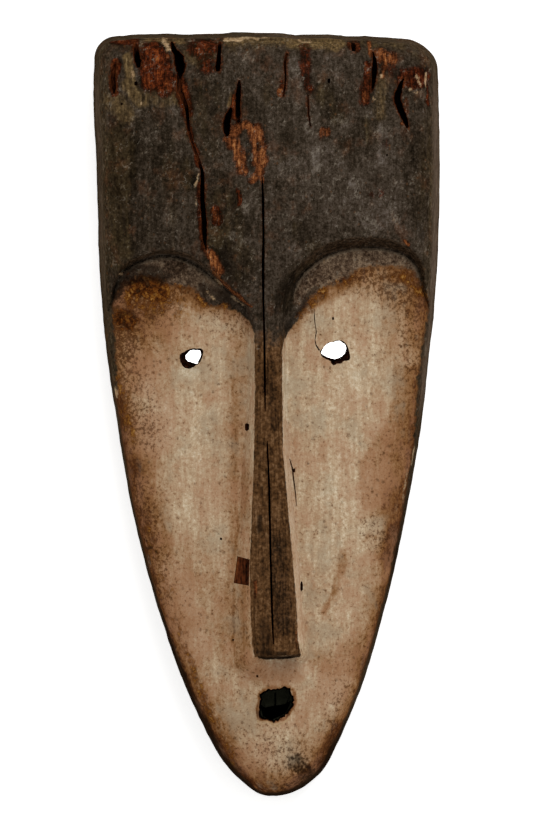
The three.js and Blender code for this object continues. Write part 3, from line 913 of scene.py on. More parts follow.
frontLayers = [
    {
        "name": "wood", "ramp": woodRamp,
        "tone": {
            "start": 0.49, "cloud": 0.3, "patch": 0.28, "mottle": 0.33, "speckle": 0.6, "dust": 0.45,
            "fibre": 0.35, "grit": 0.42, "shade": -0.13, "pale": 0.2,
        },
    },
    # olive and darker towards the outline: partly the wood's own tone, partly painted shade where the
    # forehead turns away
    {
        "name": "olive", "mask": {"side": 0.9, "shade": 0.5, "patch": 1.2, "streak": 1.2},
        "span": (0.2, 1.0), "amount": 0.75,
        "tone": {"start": 0.55, "side": -0.06, "speckle": 1.0, "streak": 0.6, "mottle": 0.4},
        "ramp": [(0, "0c0905"), (0.35, "231a0f"), (0.65, "3f3321"), (1, "685a3c")],
    },
    {
        "name": "rust", "mask": {"stain": 1, "mottle": 0.5}, "span": (0.02, 0.22), "amount": 0.45,
        "tone": {"start": 0.5, "speckle": 0.9, "mottle": 0.7},
        "ramp": [(0, "180c05"), (0.5, "43291a"), (1, "77502f")],
    },
    {
        "name": "band", "mask": {"band": 1, "grit": 0.8, "streak": 0.6}, "span": (0.25, 0.8),
        "amount": 0.75,
        "tone": {
            "start": 0.52, "band": 0.12, "shade": -0.25, "speckle": 1.3, "dust": 0.7, "crackle": -0.12,
            "grit": 0.8, "mottle": 0.8, "streak": 0.3, "patch": 0.5,
        },
        "ramp": [(0, "150e08"), (0.35, "3d2d21"), (0.6, "624e3d"), (1, "9a8369")],
    },
    # painted highlight on the rounded side edges, strongest up the right side of the forehead
    {
        "name": "edgeHighlight", "mask": {"edgeHighlight": 1, "streak": 0.9, "patch": 0.7}, "span": (0.2, 0.95),
        "amount": 0.85, "tone": {"start": 0.52, "fibre": 0.9, "mottle": 0.7, "dust": 0.6, "grit": 0.6},
        "ramp": [(0, "1c140c"), (0.5, "54453a"), (1, "83735f")],
    },
    {
        "name": "noseBrown", "mask": {"nose": 1, "streak": 0.8, "speckle": 0.6}, "span": (0.3, 0.8),
        "amount": 0.85,
        "tone": {"start": 0.56, "fibre": 0.8, "speckle": 1.1, "patch": 0.5, "noseShade": -0.2},
        "ramp": [(0, "0d0703"), (0.3, "291a0d"), (0.6, "573a20"), (1, "8d6a48")],
    },
    {
        "name": "khaki", "mask": {"khaki": 1, "grit": 0.8, "streak": 0.7}, "span": (0.2, 0.85),
        "amount": 0.8, "tone": {"start": 0.5, "speckle": 1.1, "fibre": 1.2},
        "ramp": [(0, "1a120a"), (0.4, "4a3a24"), (0.7, "705a39"), (1, "a8936b")],
    },
    {
        "name": "tornRed", "mask": {"redWood": 1, "grit": 0.9, "fibre": 0.5}, "span": (0.12, 0.62),
        "amount": 0.92,
        "tone": {"start": -0.04, "redWood": 0.45, "fibre": 0.9, "dust": 0.6, "grit": 0.8, "mottle": 0.8},
        "ramp": redRamp,
    },
    {
        "name": "bareWood", "mask": {"bareWood": 1, "grit": 0.9, "patch": 0.4}, "span": (0.15, 0.8),
        "amount": 0.9,
        "tone": {"start": 0.06, "bareWood": 0.54, "fibre": 1.2, "dust": 0.7, "grit": 0.9, "speckle": 0.6},
        "ramp": tornRamp,
    },
    {
        "name": "splitEdge", "mask": {"splitEdge": 0.8, "grit": 1.6, "streak": 1.2}, "span": (0.45, 1.0),
        "amount": 0.8, "tone": {"start": 0.3, "grit": 0.9, "speckle": 0.8}, "ramp": tornRamp,
    },
    # dark brow grooves, partly dark paint and partly painted shade under the overhanging brow, with a
    # painted shadow line under the nose's end
    {
        "name": "groove", "mask": {"groove": 1, "grit": 1.0, "speckle": 0.8, "streak": 0.4},
        "span": (0.15, 1.0), "amount": 0.74,
        "tone": {"start": 0.88, "groove": -0.3, "speckle": 1.5, "dust": 0.8, "grit": 1.2},
        "ramp": [(0, "060403"), (0.5, "20150b"), (1, "543f2c")],
    },
    # painted highlight along the lip where the face starts below the brows' grooves
    {
        "name": "lipHighlight", "mask": {"lipHighlight": 1, "grit": 1.2, "streak": 0.5}, "span": (0.3, 0.9),
        "amount": 0.75, "tone": {"start": 0.5, "speckle": 1.0},
        "ramp": [(0, "3a2f24"), (0.5, "6a5b4a"), (1, "9c8b74")],
    },
    {
        "name": "clay", "mask": {"clay": 1, "grit": 3.0, "mottle": 2.6}, "span": (-0.45, 0.75),
        "tone": {
            "start": 0.05, "dirtAndShade": 1, "speckle": 0.46, "dust": 0.28, "crackle": 0.03, "mottle": 0.2,
            "patch": 0.25, "brush": 0.3, "grit": 0.32, "streak": 0.2,
        },
        "ramp": clayRamp,
    },
    {
        "name": "blush", "mask": {"clayMask": 1, "tint": 2.6, "streak": 1.0, "warm": 0.5},
        "span": (0.9, 1.5), "amount": 0.42, "tone": {"start": 0.5, "speckle": 1.0},
        "ramp": [(0, "85583c"), (1, "b98c6c")],
    },
    {
        "name": "ash",
        "mask": {
            "start": 0.08, "clayMask": 1, "tint": -2.6, "streak": 1.0, "warm": -0.5, "ember": -1.0,
            "dirtAndShade": -0.5,
        },
        "span": (0.9, 1.5), "amount": 0.4, "tone": {"start": 0.5, "speckle": 1.0},
        "ramp": [(0, "7d7160"), (1, "b3a68c")],
    },
    {
        "name": "clayDirt",
        "mask": {
            "dirtAndShade": 0.45, "crumb": 0.5, "grit": 1.2, "speckle": 2.4, "dust": 0.8, "crackle": 0.22,
            "clayMask": 0.5,
        },
        "span": (0.9, 1.38), "amount": 0.66, "tone": {"start": 0.42, "speckle": 1.2, "ember": 0.1},
        "ramp": [(0, "0f0603"), (0.5, "351c0e"), (1, "744524")],
    },
    {
        "name": "ember",
        "mask": {"start": -0.38, "ember": 1.38, "grit": 1.5, "mottle": 1.6, "patch": 1.5},
        "span": (0.12, 0.8), "amount": 0.9,
        "tone": {
            "start": 0.47, "speckle": 1.2, "dust": 0.7, "grit": 1.3, "mottle": 1.8, "patch": 0.6,
            "crackle": -0.25,
        },
        "ramp": [(0, "0a0301"), (0.28, "2d1205"), (0.55, "5c310f"), (0.8, "80541f"), (1, "a47a42")],
    },
    {
        "name": "soot", "mask": {"soot": 1, "grit": 1.2, "speckle": 0.8}, "span": (0.2, 0.95),
        "amount": 0.8, "tone": {"start": 0.42, "speckle": 1.2},
        "ramp": [(0, "030202"), (0.5, "100c08"), (1, "362d24")],
    },
    # pale worn wood, and painted highlights along the top edge and the mouth's lower lip
    {
        "name": "cream", "mask": {"cream": 1, "grit": 1.8, "dust": 1.0}, "span": (0.3, 1.05),
        "amount": 0.75, "tone": {"start": 0.55, "speckle": 1.2},
        "ramp": [(0, "6d5238"), (0.5, "a88a66"), (1, "dcc7a4")],
    },
    {
        "name": "pits",
        "mask": {"pit": 0.75, "finePit": 0.6, "dirtAndShade": 0.8, "clayMask": 0.2, "speckle": 1.2, "patch": 1.2},
        "span": (0.75, 1.4), "amount": 0.55, "tone": {"start": 0.4, "speckle": 1.0},
        "ramp": [(0, "2c180c"), (1, "6e4a2a")],
    },
    {
        "name": "scratches",
        "mask": {
            "scratch": 0.42, "strokeUp": 0.42, "strokeFlat": 0.36, "pale": 0.55, "clayMask": -0.7,
            "nose": -0.5, "mottle": 2.0, "patch": 1.2, "speckle": 1.0,
        },
        "span": (0.38, 1.05), "amount": 0.52, "tone": {"start": 0.5, "speckle": 1.2},
        "ramp": [(0, "574e42"), (1, "8e8474")],
    },
    # painted shade on the outermost edge and down the side wall
    {
        "name": "edgeShade", "mask": {"edgeShade": 1, "grit": 0.8, "patch": 0.8, "mottle": 0.6},
        "span": (0.22, 0.9), "amount": 0.92, "tone": {"start": 0.45, "speckle": 1.0, "streak": 0.8},
        "ramp": [(0, "060402"), (0.5, "1b110a"), (1, "40301f")],
    },
]
frontRelief = {
    "speckle": 0.22, "grit": 0.25, "mottle": 0.3, "fibre": 0.12, "pit": -0.18, "finePit": -0.1,
    "clayMask": 0.12,
}

# Areas of colour on the wood and the clay, as strokes: half width, strength, line
marks = {
    "khaki": [
        (2.0, 0.9, [(-54, 139), (-53.5, 133), (-52.5, 126)]),
        (3.2, 0.75, [(-54, 128), (-51, 124), (-49, 122.5)]),
        (1.5, 0.8, [(-39, 129.5), (-37, 127), (-35.5, 124.5), (-34.3, 121)]),
        (2.2, 0.5, [(-50, 121.5), (-38, 121.5)]), (3.6, 0.6, [(-30, 140), (-26.5, 138.4), (-22.5, 141)]),
        (3.4, 0.55, [(-47, 124), (-38, 124.5)]), (2.8, 0.6, [(-14, 146.5), (9, 146.4)]),
        (3.2, 1, [(10, 145.8), (27, 145)]), (2.4, 0.35, [(28, 146), (52, 144.6)]),
        (4.4, 0.65, [(-60, 122), (-55, 117)]), (2.4, 0.75, [(-45, 147), (-34, 146.4)]),
        (3.4, 0.5, [(45, 131), (44.5, 122), (44, 117)]), (1.0, 0.8, [(-14, 124.5), (-14.7, 120)]),
    ],
    "redWood": [
        (1.9, 0.9, [(-59.5, 146), (-54, 145.5)]), (1.5, 1, [(-52, 147), (-51, 143)]),
        (1.7, 1, [(-58.6, 137), (-59.6, 131), (-59.6, 126)]), (4.6, 1, [(-44.6, 140.5), (-44.4, 130)]),
        (3.4, 0.95, [(-40.5, 138), (-39.2, 127)]),
        (2.6, 0.9, [(-34.6, 131), (-32.6, 125.5), (-31.2, 118)]),
        (3.6, 0.6, [(-28.5, 143), (-24, 141), (-23.5, 136)]),
        (0.9, 1, [(-30.2, 112), (-28, 103.5), (-26, 97)]),
        (0.8, 0.8, [(-26.2, 90), (-26.2, 79), (-25.4, 70), (-24.3, 64)]),
        (2.0, 0.8, [(-19.5, 79), (-19, 75)]), (1.1, 1, [(-13, 124), (-12.8, 115)]),
        (0.9, 1, [(-11, 87), (-10.6, 82)]), (0.9, 0.7, [(32, 147), (31.8, 143)]),
        (0.9, 0.7, [(35.8, 147), (35.5, 142)]), (1.2, 0.9, [(39.5, 137), (39.2, 128), (38.8, 122)]),
        (4.2, 0.75, [(54.5, 131), (60, 131)]), (2.6, 0.5, [(39, 129), (38.4, 122)]),
        (3, 0.4, [(46, 137), (50, 133)]), (0.6, 0.8, [(62.9, 128), (62.9, 120)]),
        (2.2, 0.4, [(47, 105.5)]), (2.2, 0.9, [(-25, 144.5), (-21, 143.5)]),
        (2.4, 0.55, [(14.5, 143), (15.6, 134), (16.4, 126.5)]), (1.0, 0.6, [(5.6, 130), (6, 126)]),
        (1.6, 0.4, [(45, 86), (41, 85)]), (1.3, 0.6, [(-52, -3), (-50.5, -14)]),
    ],
    "bareWood": [
        (2.0, 0.9, [(-12.8, 109.5), (-10.5, 112.6), (-7.8, 113.2), (-5.6, 111.4)]),
        (3.3, 0.95, [(-4.4, 110.2), (-3.2, 105), (-2.8, 98.8)]),
        (2.1, 0.85, [(-15.2, 107.8), (-14, 104.5)]),
        (2.5, 0.95, [(-12.2, 105.5), (-10.3, 100.5), (-9.6, 95.2)]),
        (1.7, 0.95, [(-6.2, 91.4), (-4.4, 92.4), (-2.6, 94.6)]), (0.9, 0.9, [(-1.6, 94.5), (-1.2, 90)]),
        (1.1, 1, [(-38.3, 139.3)]), (0.8, 1, [(40, 145.8), (40.6, 141)]),
        (2.9, 0.9, [(44, 140.4), (49, 138.6)]), (1.2, 0.6, [(39.2, 126), (38.4, 122)]),
        (1.4, 0.7, [(46.4, 137), (45.4, 132)]), (1.7, 0.8, [(21.8, 110), (21.8, 108.4)]),
        (1.2, 0.8, [(24.2, 110.2), (24, 108.6)]), (1.0, 1, [(5.3, 126.5), (5.8, 124)]),
        (0.8, 1, [(52.8, 113.5)]), (1.0, 0.6, [(54.3, 123), (54.6, 118)]),
        (2.2, 1, [(-22.2, 62.5), (-20, 59.5), (-18.6, 57)]),
        (0.7, 1, [(-21, 56), (-17.5, 51.8), (-13.7, 48.1), (-9.5, 44.8), (-6.2, 41.7)]),
        (1.3, 0.8, [(-20, 78), (-18.5, 75.5)]), (0.9, 1, [(54.5, 67.5), (55.3, 65.8)]),
        (0.7, 1, [(-56.9, 54.5), (-54.6, 55)]), (0.8, 0.7, [(-4.4, -65), (-4.6, -72)]),
        (1.3, 0.5, [(12.2, -85), (12.4, -91)]),
    ],
    "ember": [
        (5, 1, [(-50, 49.5), (-42, 48)]), (4.4, 1, [(-56, 37), (-54, 36)]),
        (5, 0.6, [(-44, 44), (-36, 42)]), (7, 0.6, [(-51, 43)]),
        (2.2, 0.7, [(-37, 49.5), (-30, 47.5), (-24, 43.6), (-15, 41.4)]),
        (2.4, 0.6, [(13.5, 38), (18.5, 44.5), (25, 49.5), (33, 53)]),
        (2.6, 0.6, [(50, 54.5), (57, 52.5), (60.5, 46)]),
        (2.2, 0.6, [(-57.5, 14), (-55, 2), (-52.5, -10)]),
        (2.4, 0.5, [(-46, -45), (-42, -58), (-38, -70)]),
        (2.2, 0.6, [(-36, -80), (-24, -112), (-12, -136)]), (3, 0.35, [(-17, -130), (-12, -135)]),
    ],
    "soot": [
        (1.0, 1, [(-28.6, 93.3), (-28.4, 89.5)]), (1.8, 0.6, [(-31.5, 94), (-31, 91)]),
        (2.0, 0.6, [(-17, 63), (-14.8, 57), (-12.8, 51)]),
        (1.8, 0.75, [(-56, 55), (-50, 56.4), (-43.5, 56.2), (-39, 54)]),
        (2.6, 0.7, [(-24.5, 49.5), (-20, 47.5), (-15, 44.5)]),
        (1.3, 0.65, [(8, 33), (10.5, 36.8), (13.5, 41.5), (17, 47), (21, 50)]),
        (2.6, 0.6, [(9.5, 53), (5.5, 46), (4.5, 41)]), (0.9, 0.9, [(-2.7, 104.8), (-2.9, 103)]),
        (1.1, 0.7, [(-7.6, 106.5), (-7.0, 101), (-6.0, 95.5)]),
        (0.8, 0.7, [(-10.7, 109.3), (-9.7, 109.1)]), (0.7, 1, [(-48.5, 124.5), (-48.2, 123)]),
        (1.0, 0.8, [(-2.2, -29.6), (-1.8, -32.2)]), (1.3, 0.8, [(-2.8, -40.5), (-2.3, -45.5)]),
        (3.6, 0.8, [(12, -136), (16, -141)]), (2.2, 0.5, [(6, -147), (14, -145)]),
        (2.2, 0.55, [(-58.5, 143), (-54, 144)]),
        (0.7, 0.9, [(-47.5, -51.7), (-44.8, -52.3), (-42.8, -54.8)]), (1.6, 0.5, [(59, 74), (61, 68)]),
        (0.8, 0.8, [(-47.5, -49)]), (3.0, 0.5, [(-1.5, -82), (0, -90)]),
        (1.3, 0.75, [(-3.2, -93.2), (8, -93.6)]), (1.4, 0.6, [(-57, 38.8), (-52, 39)]),
        (2.4, 0.95, [(-59, 47), (-56, 52), (-48, 53.8), (-41, 53)]),
    ],
    "pale": [
        (3.6, 0.55, [(2, 119), (5, 114)]), (5, 0.3, [(14, 97), (17, 84)]), (4, 0.3, [(32, 87), (33, 78)]),
        (2.4, 1, [(19, 103), (19.5, 97.5)]), (3.2, 0.6, [(-47, 110.5), (-44, 107)]),
        (1.8, 0.8, [(-7.6, 83.5), (-7.6, 79)]), (2.2, 0.6, [(-13, 69), (-8, 67)]),
        (2.2, 0.5, [(45, 99), (48, 93)]), (2, 0.5, [(45, 111)]), (1.6, 0.5, [(8, 97.5), (6, 96.6)]),
        (1.2, 0.6, [(0.9, 88.5), (1.5, 85.3)]), (3, 0.4, [(28, 113.5), (30, 115)]),
        (6, 0.3, [(35, 80), (41, 74)]), (8, 0.2, [(13, 118), (15, 84)]), (7, 0.2, [(24, 84), (32, 74)]),
        (3.2, 0.3, [(-47, 103), (-47, 91)]), (5, 0.3, [(49, 87), (46, 80)]),
    ],
    # pale worn wood, and painted highlights along the top edge and the mouth's lower lip
    "cream": [
        (0.7, 1, [(-52.5, 133.8), (-52.4, 131.8)]), (1.1, 1, [(-40, 146), (-38.7, 142.4)]),
        (0.5, 0.9, [(-49.1, 121.3)]), (0.6, 0.9, [(41.4, 123.8), (41.6, 122.6)]),
        (0.7, 0.9, [(45, 131.8)]), (0.5, 0.9, [(58.9, 132), (60, 128.5)]),
        (0.5, 0.9, [(61.8, 133), (62.3, 128)]), (0.5, 0.8, [(56, 126.3), (59, 125.8)]),
        (0.9, 1, [(-15.6, 146.2), (-11, 146.4), (-7, 147.2)]), (0.5, 0.9, [(-6, 146.8), (0.5, 146.7)]),
        (0.6, 0.8, [(12, 146), (17, 145)]), (0.8, 0.6, [(-49, 147.6), (-40, 147.2)]),
        (0.6, 1, [(-56.9, 54.6)]), (0.4, 0.9, [(-27.4, 93), (-27.5, 89)]),
        (0.4, 0.7, [(-27.4, 84.5), (-27.2, 81)]), (0.5, 0.9, [(-20.4, 53), (-17, 49.9)]),
        (0.5, 0.9, [(-13.6, 46.2), (-9.2, 42.4)]), (0.6, 0.9, [(-23.4, 47.8), (-20.6, 45.2)]),
        (0.6, 1, [(-59.3, 9.8), (-58.8, 7)]), (0.6, 0.9, [(57.3, -13), (57, -20)]),
        (0.5, 0.6, [(55, -23), (53.3, -34)]),
        (0.6, 1, [(-3, -120.2), (0.4, -121), (3.4, -121.7), (6.4, -120.4), (8.6, -118.4)]),
    ],
    "shade": [
        (16, 0.5, [(-46, 98), (-44, 80)]), (4.5, 1.3, [(-57, 110), (-56, 64)]),
        (5, 1.8, [(-56, 104), (-56, 88)]), (8, 1, [(-17, 82), (-12, 58)]),
        (6, 0.8, [(-24, 126), (-21, 104)]), (4, 0.95, [(-30, 122), (-28, 110)]),
        (4, 1, [(22, 125), (28, 116)]), (3.5, 0.6, [(31, 106), (33, 99)]),
        (5, 0.9, [(7, 44), (11, 52), (17, 58)]), (3, 0.1, [(46, 62), (57, 60), (62, 53)]),
        (4, 0.8, [(12, 72), (17, 66)]), (5, 0.5, [(2, 126), (6, 110)]),
        (3.5, 1.2, [(-31, 97), (-31, 90)]), (4, 0.9, [(-38, 98), (-37, 90)]),
        (3.5, 0.5, [(-21, 104), (-20, 88)]), (4, 1.4, [(-21, 71), (-20, 64)]),
        (4, 0.7, [(39, 112), (40, 107)]), (4, 0.45, [(58, 112), (58, 80)]),
        (2.5, 0.5, [(5, 103), (5, 100)]), (5, 0.6, [(-52, 69), (-36, 68)]),
        (3, 0.8, [(-57, 58), (-52, 59)]), (3, 0.7, [(-38, 58), (-34, 57)]),
    ],
    # where the clay is pinker
    "warm": [
        (6, 1, [(-40, -52), (-34, -74), (-26, -94)]), (5, 1, [(44, -8), (42, -34)]),
        (7, 0.8, [(-46, 18), (-44, -10)]), (4, 0.9, [(-2, -101), (10, -102)]),
        (6, 0.8, [(26, -112), (30, -92)]),
        (1.4, 1.2, [(7.2, -4), (8.4, -25), (10.4, -45), (12, -62), (13.4, -88)]),
    ],
    "noseShade": [
        (3.2, 1, [(4, -50), (5.6, -70), (6.6, -84)]), (1.6, 0.7, [(2, 20), (2.6, -5)]),
        (2.4, 0.6, [(-1.5, -84), (-1, -92)]),
    ],
    # where the clay is full of dark crumbs
    "crumb": [
        (9, 1, [(-50, 48), (-44, 46)]), (6, 0.9, [(-56, 36), (-55, 24)]),
        (7, 0.6, [(-52, 12), (-46, -8)]), (7, 0.75, [(36, 55), (57, 47)]), (5, 0.5, [(56, 40), (56, 20)]),
        (8, 0.6, [(2, -131), (12, -136)]), (4, 0.45, [(24, -120), (30, -105)]),
        (5, 0.5, [(-50, -30), (-40, -70)]), (6, 0.4, [(-20, 38), (-8, 36)]),
        (6, 0.35, [(-6, -128), (10, -126)]), (5, 0.5, [(40, -44), (43, -50)]),
    ],
}
# How dark the clay is by its distance in from the side, partly dirt and partly painted shade where the
# face turns away, then where hands and damp have darkened it more, and where it was rubbed or chipped
# clean
edgeDirtAndShade = {
    "left": [
        (0, 0.78), (1.6, 0.74), (2.4, 0.68), (3.1, 0.6), (4.3, 0.52), (5.5, 0.46), (8.6, 0.37),
        (10.6, 0.31), (13, 0.24), (16, 0.2), (22, 0.18), (60, 0.15),
    ],
    "right": [
        (0, 0.82), (1.2, 0.76), (2.4, 0.62), (3.1, 0.54), (4.3, 0.46), (5.5, 0.38), (7, 0.3), (8.6, 0.25),
        (10.6, 0.2), (13, 0.17), (22, 0.14), (60, 0.13),
    ],
}
# besides dirt, the strokes along the nose's left flank are painted shade, and those just below its end a
# painted shadow
dirtAndShadeMarks = [
    (12, 0.4, [(-52, 43), (-47, 42)]), (12, 0.17, [(-46, 30)]), (4, 0.14, [(-48, 28), (-49, 19)]),
    (8, 0.3, [(58, 46), (55, 52)]), (4, 0.26, [(58.6, 42), (58, 30)]), (3, 0.1, [(11, 34), (16, 41)]),
    (4, 0.14, [(30, 54), (46, 56)]), (6, 0.26, [(47, 50), (40, 52)]), (5, 0.1, [(49, 42), (49, 24)]),
    (4.5, 0.3, [(-52, 52), (-38, 50), (-28, 46.5)]), (3.4, 0.22, [(-30, 47), (-26, 43), (-14, 39)]),
    (3.6, 0.36, [(19, 45), (25, 48.5), (33, 52.5)]), (3.4, 0.3, [(54, 54), (59, 50)]),
    (3.2, 0.22, [(-56.5, 4), (-54.5, -10), (-51.5, -22)]),
    (5, 0.22, [(-49, -22), (-45.5, -38), (-41, -52)]),
    (3.8, 0.19, [(-11.6, 33), (-12, 0), (-11, -36), (-12, -70), (-11.5, -97)]),
    (1.2, 0.12, [(-12.4, 16), (-12.4, -30)]), (2.2, 0.2, [(-8, -68), (-8, -94)]),
    (1.8, 0.14, [(-7.4, -20), (-7.8, -52)]), (6, 0.07, [(-28, -54), (-21, -70)]),
    (3.8, 0.5, [(51, -46), (47, -56)]), (3.5, 0.12, [(49, -26), (48, -38)]),
    (5, 0.14, [(34, -97), (22, -97)]), (3, 0.2, [(-9, -97), (-3, -98)]), (4, 0.05, [(51, -2), (48, -14)]),
    (4, 0.08, [(46, -36), (46, -44)]), (0.7, 0.5, [*mouth["front"], mouth["front"][0]]),
    (1.4, 0.12, [(-18, -74), (-17, -92)]), (6, 0.06, [(-21, -66), (-19, -97)]),
    (1.5, 0.4, [(29.8, -54.5), (29.6, -59), (28.3, -63.6), (26.4, -69.5)]),
    (1.1, 0.3, [(26.4, -69.5), (24.8, -72.7), (22.8, -77.4)]),
    (0.8, 0.3, [(38, -49.7), (39.8, -47.9), (42.6, -48.3)]),
    (3.2, 0.2, [(-3, -102.5), (5, -103.5), (10, -101.5)]), (1.4, 0.2, [(9.4, -45), (10.2, -62)]),
    (3, 0.2, [(36, -86), (33, -92)]), (6, 0.16, [(12, -132), (16, -135)]),
    (0.45, 0.28, [(-11.2, -40), (-12.4, -55)]), (0.5, 0.3, [(-12.5, -68), (-12.9, -94)]),
    (2.2, 0.5, [(-36.5, -98), (-26, -119), (-17, -133), (-7, -144.5)]),
    (2.0, 0.45, [(32.5, -108), (27.5, -122), (20, -138), (10, -146.5)]),
    (5, 0.2, [(0, -144), (12, -143)]), (4, 0.18, [(-18, -129), (-12, -134)]), (14, 0.05, [(4, -125)]),
]
# terracotta area of the right cheek: crisp along its inner border, and fading out below
rubbedBorder = [
    (70, 19), (49.6, 19), (49.2, 12), (48.6, 4), (47.4, -2.8), (43.4, -6.8), (41.2, -10.8), (39.4, -14.6),
    (36.4, -17), (35.4, -21), (35.4, -27), (37.6, -31), (37.6, -36), (35.6, -42), (38.5, -50), (70, -52),
]
rubbedDirt = 0.24
cleanAndLitMarks = [
    (2, 0.9, [(-32.3, 17), (-27.3, 16)]),
    # a painted highlight along the nose's right flank
    (1.5, 0.85, [(6.8, 18), (7, 0), (8.4, -25), (10.2, -45), (11.8, -62), (13.2, -88)]),
    (2.0, 0.2, [(-8.6, -42), (-8.6, -54)]), (2.2, 0.6, [(14.5, -99.5), (17.5, -101.5)]),
    (1.6, 0.4, [(33, -20), (33, -24)]), (8, 0.35, [(-33, 0), (-27, -40)]),
    (9, 0.32, [(33, 22), (31, -52)]), (5, 0.3, [(31, -58), (29, -76)]),
    (4, 0.35, [(-27, -88), (-20, -106)]), (4, 0.45, [(31, -106), (28, -115)]),
    (4.5, 0.15, [(38, -70), (35, -84)]), (5, 0.3, [(-21, 10), (-20, 4)]), (5, 0.35, [(22, 14), (22, 4)]),
    (6, 0.35, [(-4, -131), (8, -129)]),
]
# upper border of the clay from left to right, down and up again round the nose
clayTop = [
    (-80, 18), (-63.7, 27.1), (-61.4, 32.9), (-60.6, 40.8), (-59.8, 47.1), (-55.9, 52.2), (-48.8, 54.1),
    (-42.2, 54.1), (-37.8, 51.0), (-33.1, 49.8), (-29.6, 50.2), (-26.5, 47.1), (-24.1, 43.5),
    (-21.0, 42.4), (-17.5, 42.7), (-11.6, 40.4), (-6.5, 36.1), (-4.7, 31.4), (-4.5, 10), (-4.9, -18),
    (-5.5, -34), (-6.0, -46), (-6.5, -58), (-6.3, -70), (-6.0, -80), (-5.6, -90), (-4.6, -94.9),
    (13.3, -94.0), (12.3, -88.6), (11.8, -75.7), (10.2, -56.9), (6.4, -14.1), (6.0, 24.3), (6.9, 29.0),
    (8.8, 32.5), (11.2, 35.3), (13.9, 40.2), (17.5, 45.6), (20.6, 48.2), (24.1, 50.8), (27.6, 50.8),
    (30.8, 52.9), (34.3, 55.5), (37.8, 57.2), (44.9, 58.4), (51.2, 57.6), (56.9, 56.9), (60.6, 51.4),
    (62.9, 44.7), (80, 40),
]
# how dark the painted shade on the outermost edge is up each side, and how far in that reaches
vergeDark = {
    "left": [
        (-150, 1, 2.8), (-128, 1, 5.4), (-98, 1, 5), (-78, 0.65, 2.6), (-40, 0.42, 2.2), (0, 0.36, 2.2),
        (40, 0.5, 3), (60, 0.36, 3), (150, 0.4, 3),
    ],
    "right": [
        (-150, 1, 4), (-130, 1, 4.6), (-112, 0.3, 2), (-80, 0.42, 2.4), (-54, 0.7, 3), (-44, 0.55, 2.6),
        (-36, 0.5, 2.2), (-10, 0.4, 2.2), (20, 0.25, 2), (150, 0.25, 2),
    ],
}
# how far in from the side the clay starts
clayBorder = {
    "left": [(-150, 1), (8, 1), (10.5, 2.9), (28, 4), (60, 4.2)],
    "right": [(-150, 1.4), (-40, 1.4), (-10, 2), (14, 3.8), (25, 3.3), (44, 2.4), (60, 1.2)],
}


# Where what is painted on starts and ends, in mm
reaches = {
    # along the mask
    "clayUnderBrow": (20, 44), "dirtUnderBrow": (24, 40), "noseTop": (45, 15), "rubbedEnd": (-45, -35),
    "vergeHigh": (60, 20), "stripTop": (120, 142), "rightStripLow": (-16, 12), "rightStripHigh": (40, 60),
    "leftStripLow": (30, 60), "leftStripHigh": (104, 118),
    # in from the outline, from the clay's border and from the rubbed area's
    "side": (1, 12), "strip": (0.6, 5.2), "clayEnd": (3.5, 0), "rubbed": (-0.7, 0.9),
    # down the side wall or into an opening
    "vergeWall": (2, 5), "stripWall": (8, 38), "splitWall": (3, 16), "wall": (1.5, 8),
    # past the crest of the brows, beyond their foot and across the mask, wide on the right and narrow on
    # the left
    "band": (0.3, 1.3), "wideCrest": (-1.2, 0.2), "wideFoot": (-0.3, 0.8), "wideAcross": (10, 27),
    "narrowCrest": (-0.8, 0.3), "narrowFoot": (-1.0, 0.4), "narrowAcross": (-34, -14),
    # away from the painted shadow line under the nose and from a split's edge, and above and below the
    # mouth's floor
    "noseShadow": (0.5, 1.1), "splitEdge": (0, 1.9), "floorAbove": (25.9, 25.6), "floorBelow": (25.1, 25.4),
}
painting = {
    "claySharpness": (3.6, 2.9),  # along the nose, and what it loses under the brows
    # a painted shadow line under the nose's end: its line, half width, sharpness and darkness
    "noseShadowLine": [(-2.8, -94.9), (0, -95.3), (7, -95.2), (12.8, -94.3)],
    "noseLineHalf": 0.55, "noseLineSharpness": 4, "noseLineDark": 1.4,
    "vergeStart": 0.3, "leftBand": 0.75,
    "stripLoss": 0.6, "wallLoss": 0.5, "rightStrip": (0.75, 0.25), "leftStrip": (0.55, 0.1),
    "wideGroove": (0.3, 0.7), "narrowGroove": (0.9, -0.4), "lipPlace": 1.3, "lipWidth": 0.7,
    "darkDepth": 8, "eyeWallShade": 0.42,
    "splitSteps": 40, "noseBorder": 0.5,
    "chipMiddle": -11, "chipShade": 0.3, "chipSlope": 0.07, "chipDarkest": 0.45,
    # how torn the edges of splits are, by what their names hold: hardly in the middle, not at hairlines
    "tornEdge": {"centre": 0.3, "Hairline": 0, "": 1},
    "browDirt": 0.28,
    # how the borders of dirt and marks wander to the right and up
    "wander": ([(0.55, 3.4, 41), (0.3, 1.7, 42)], [(0.55, 3.4, 43), (0.3, 1.7, 44)]),
}


def within(name, value):
    return smoothstep(*reaches[name], value)


def setField(piece, name, values):
    field = piece.data.attributes.new(name, "FLOAT", "POINT")
    field.data.foreach_set("value", values.astype(np.float32))


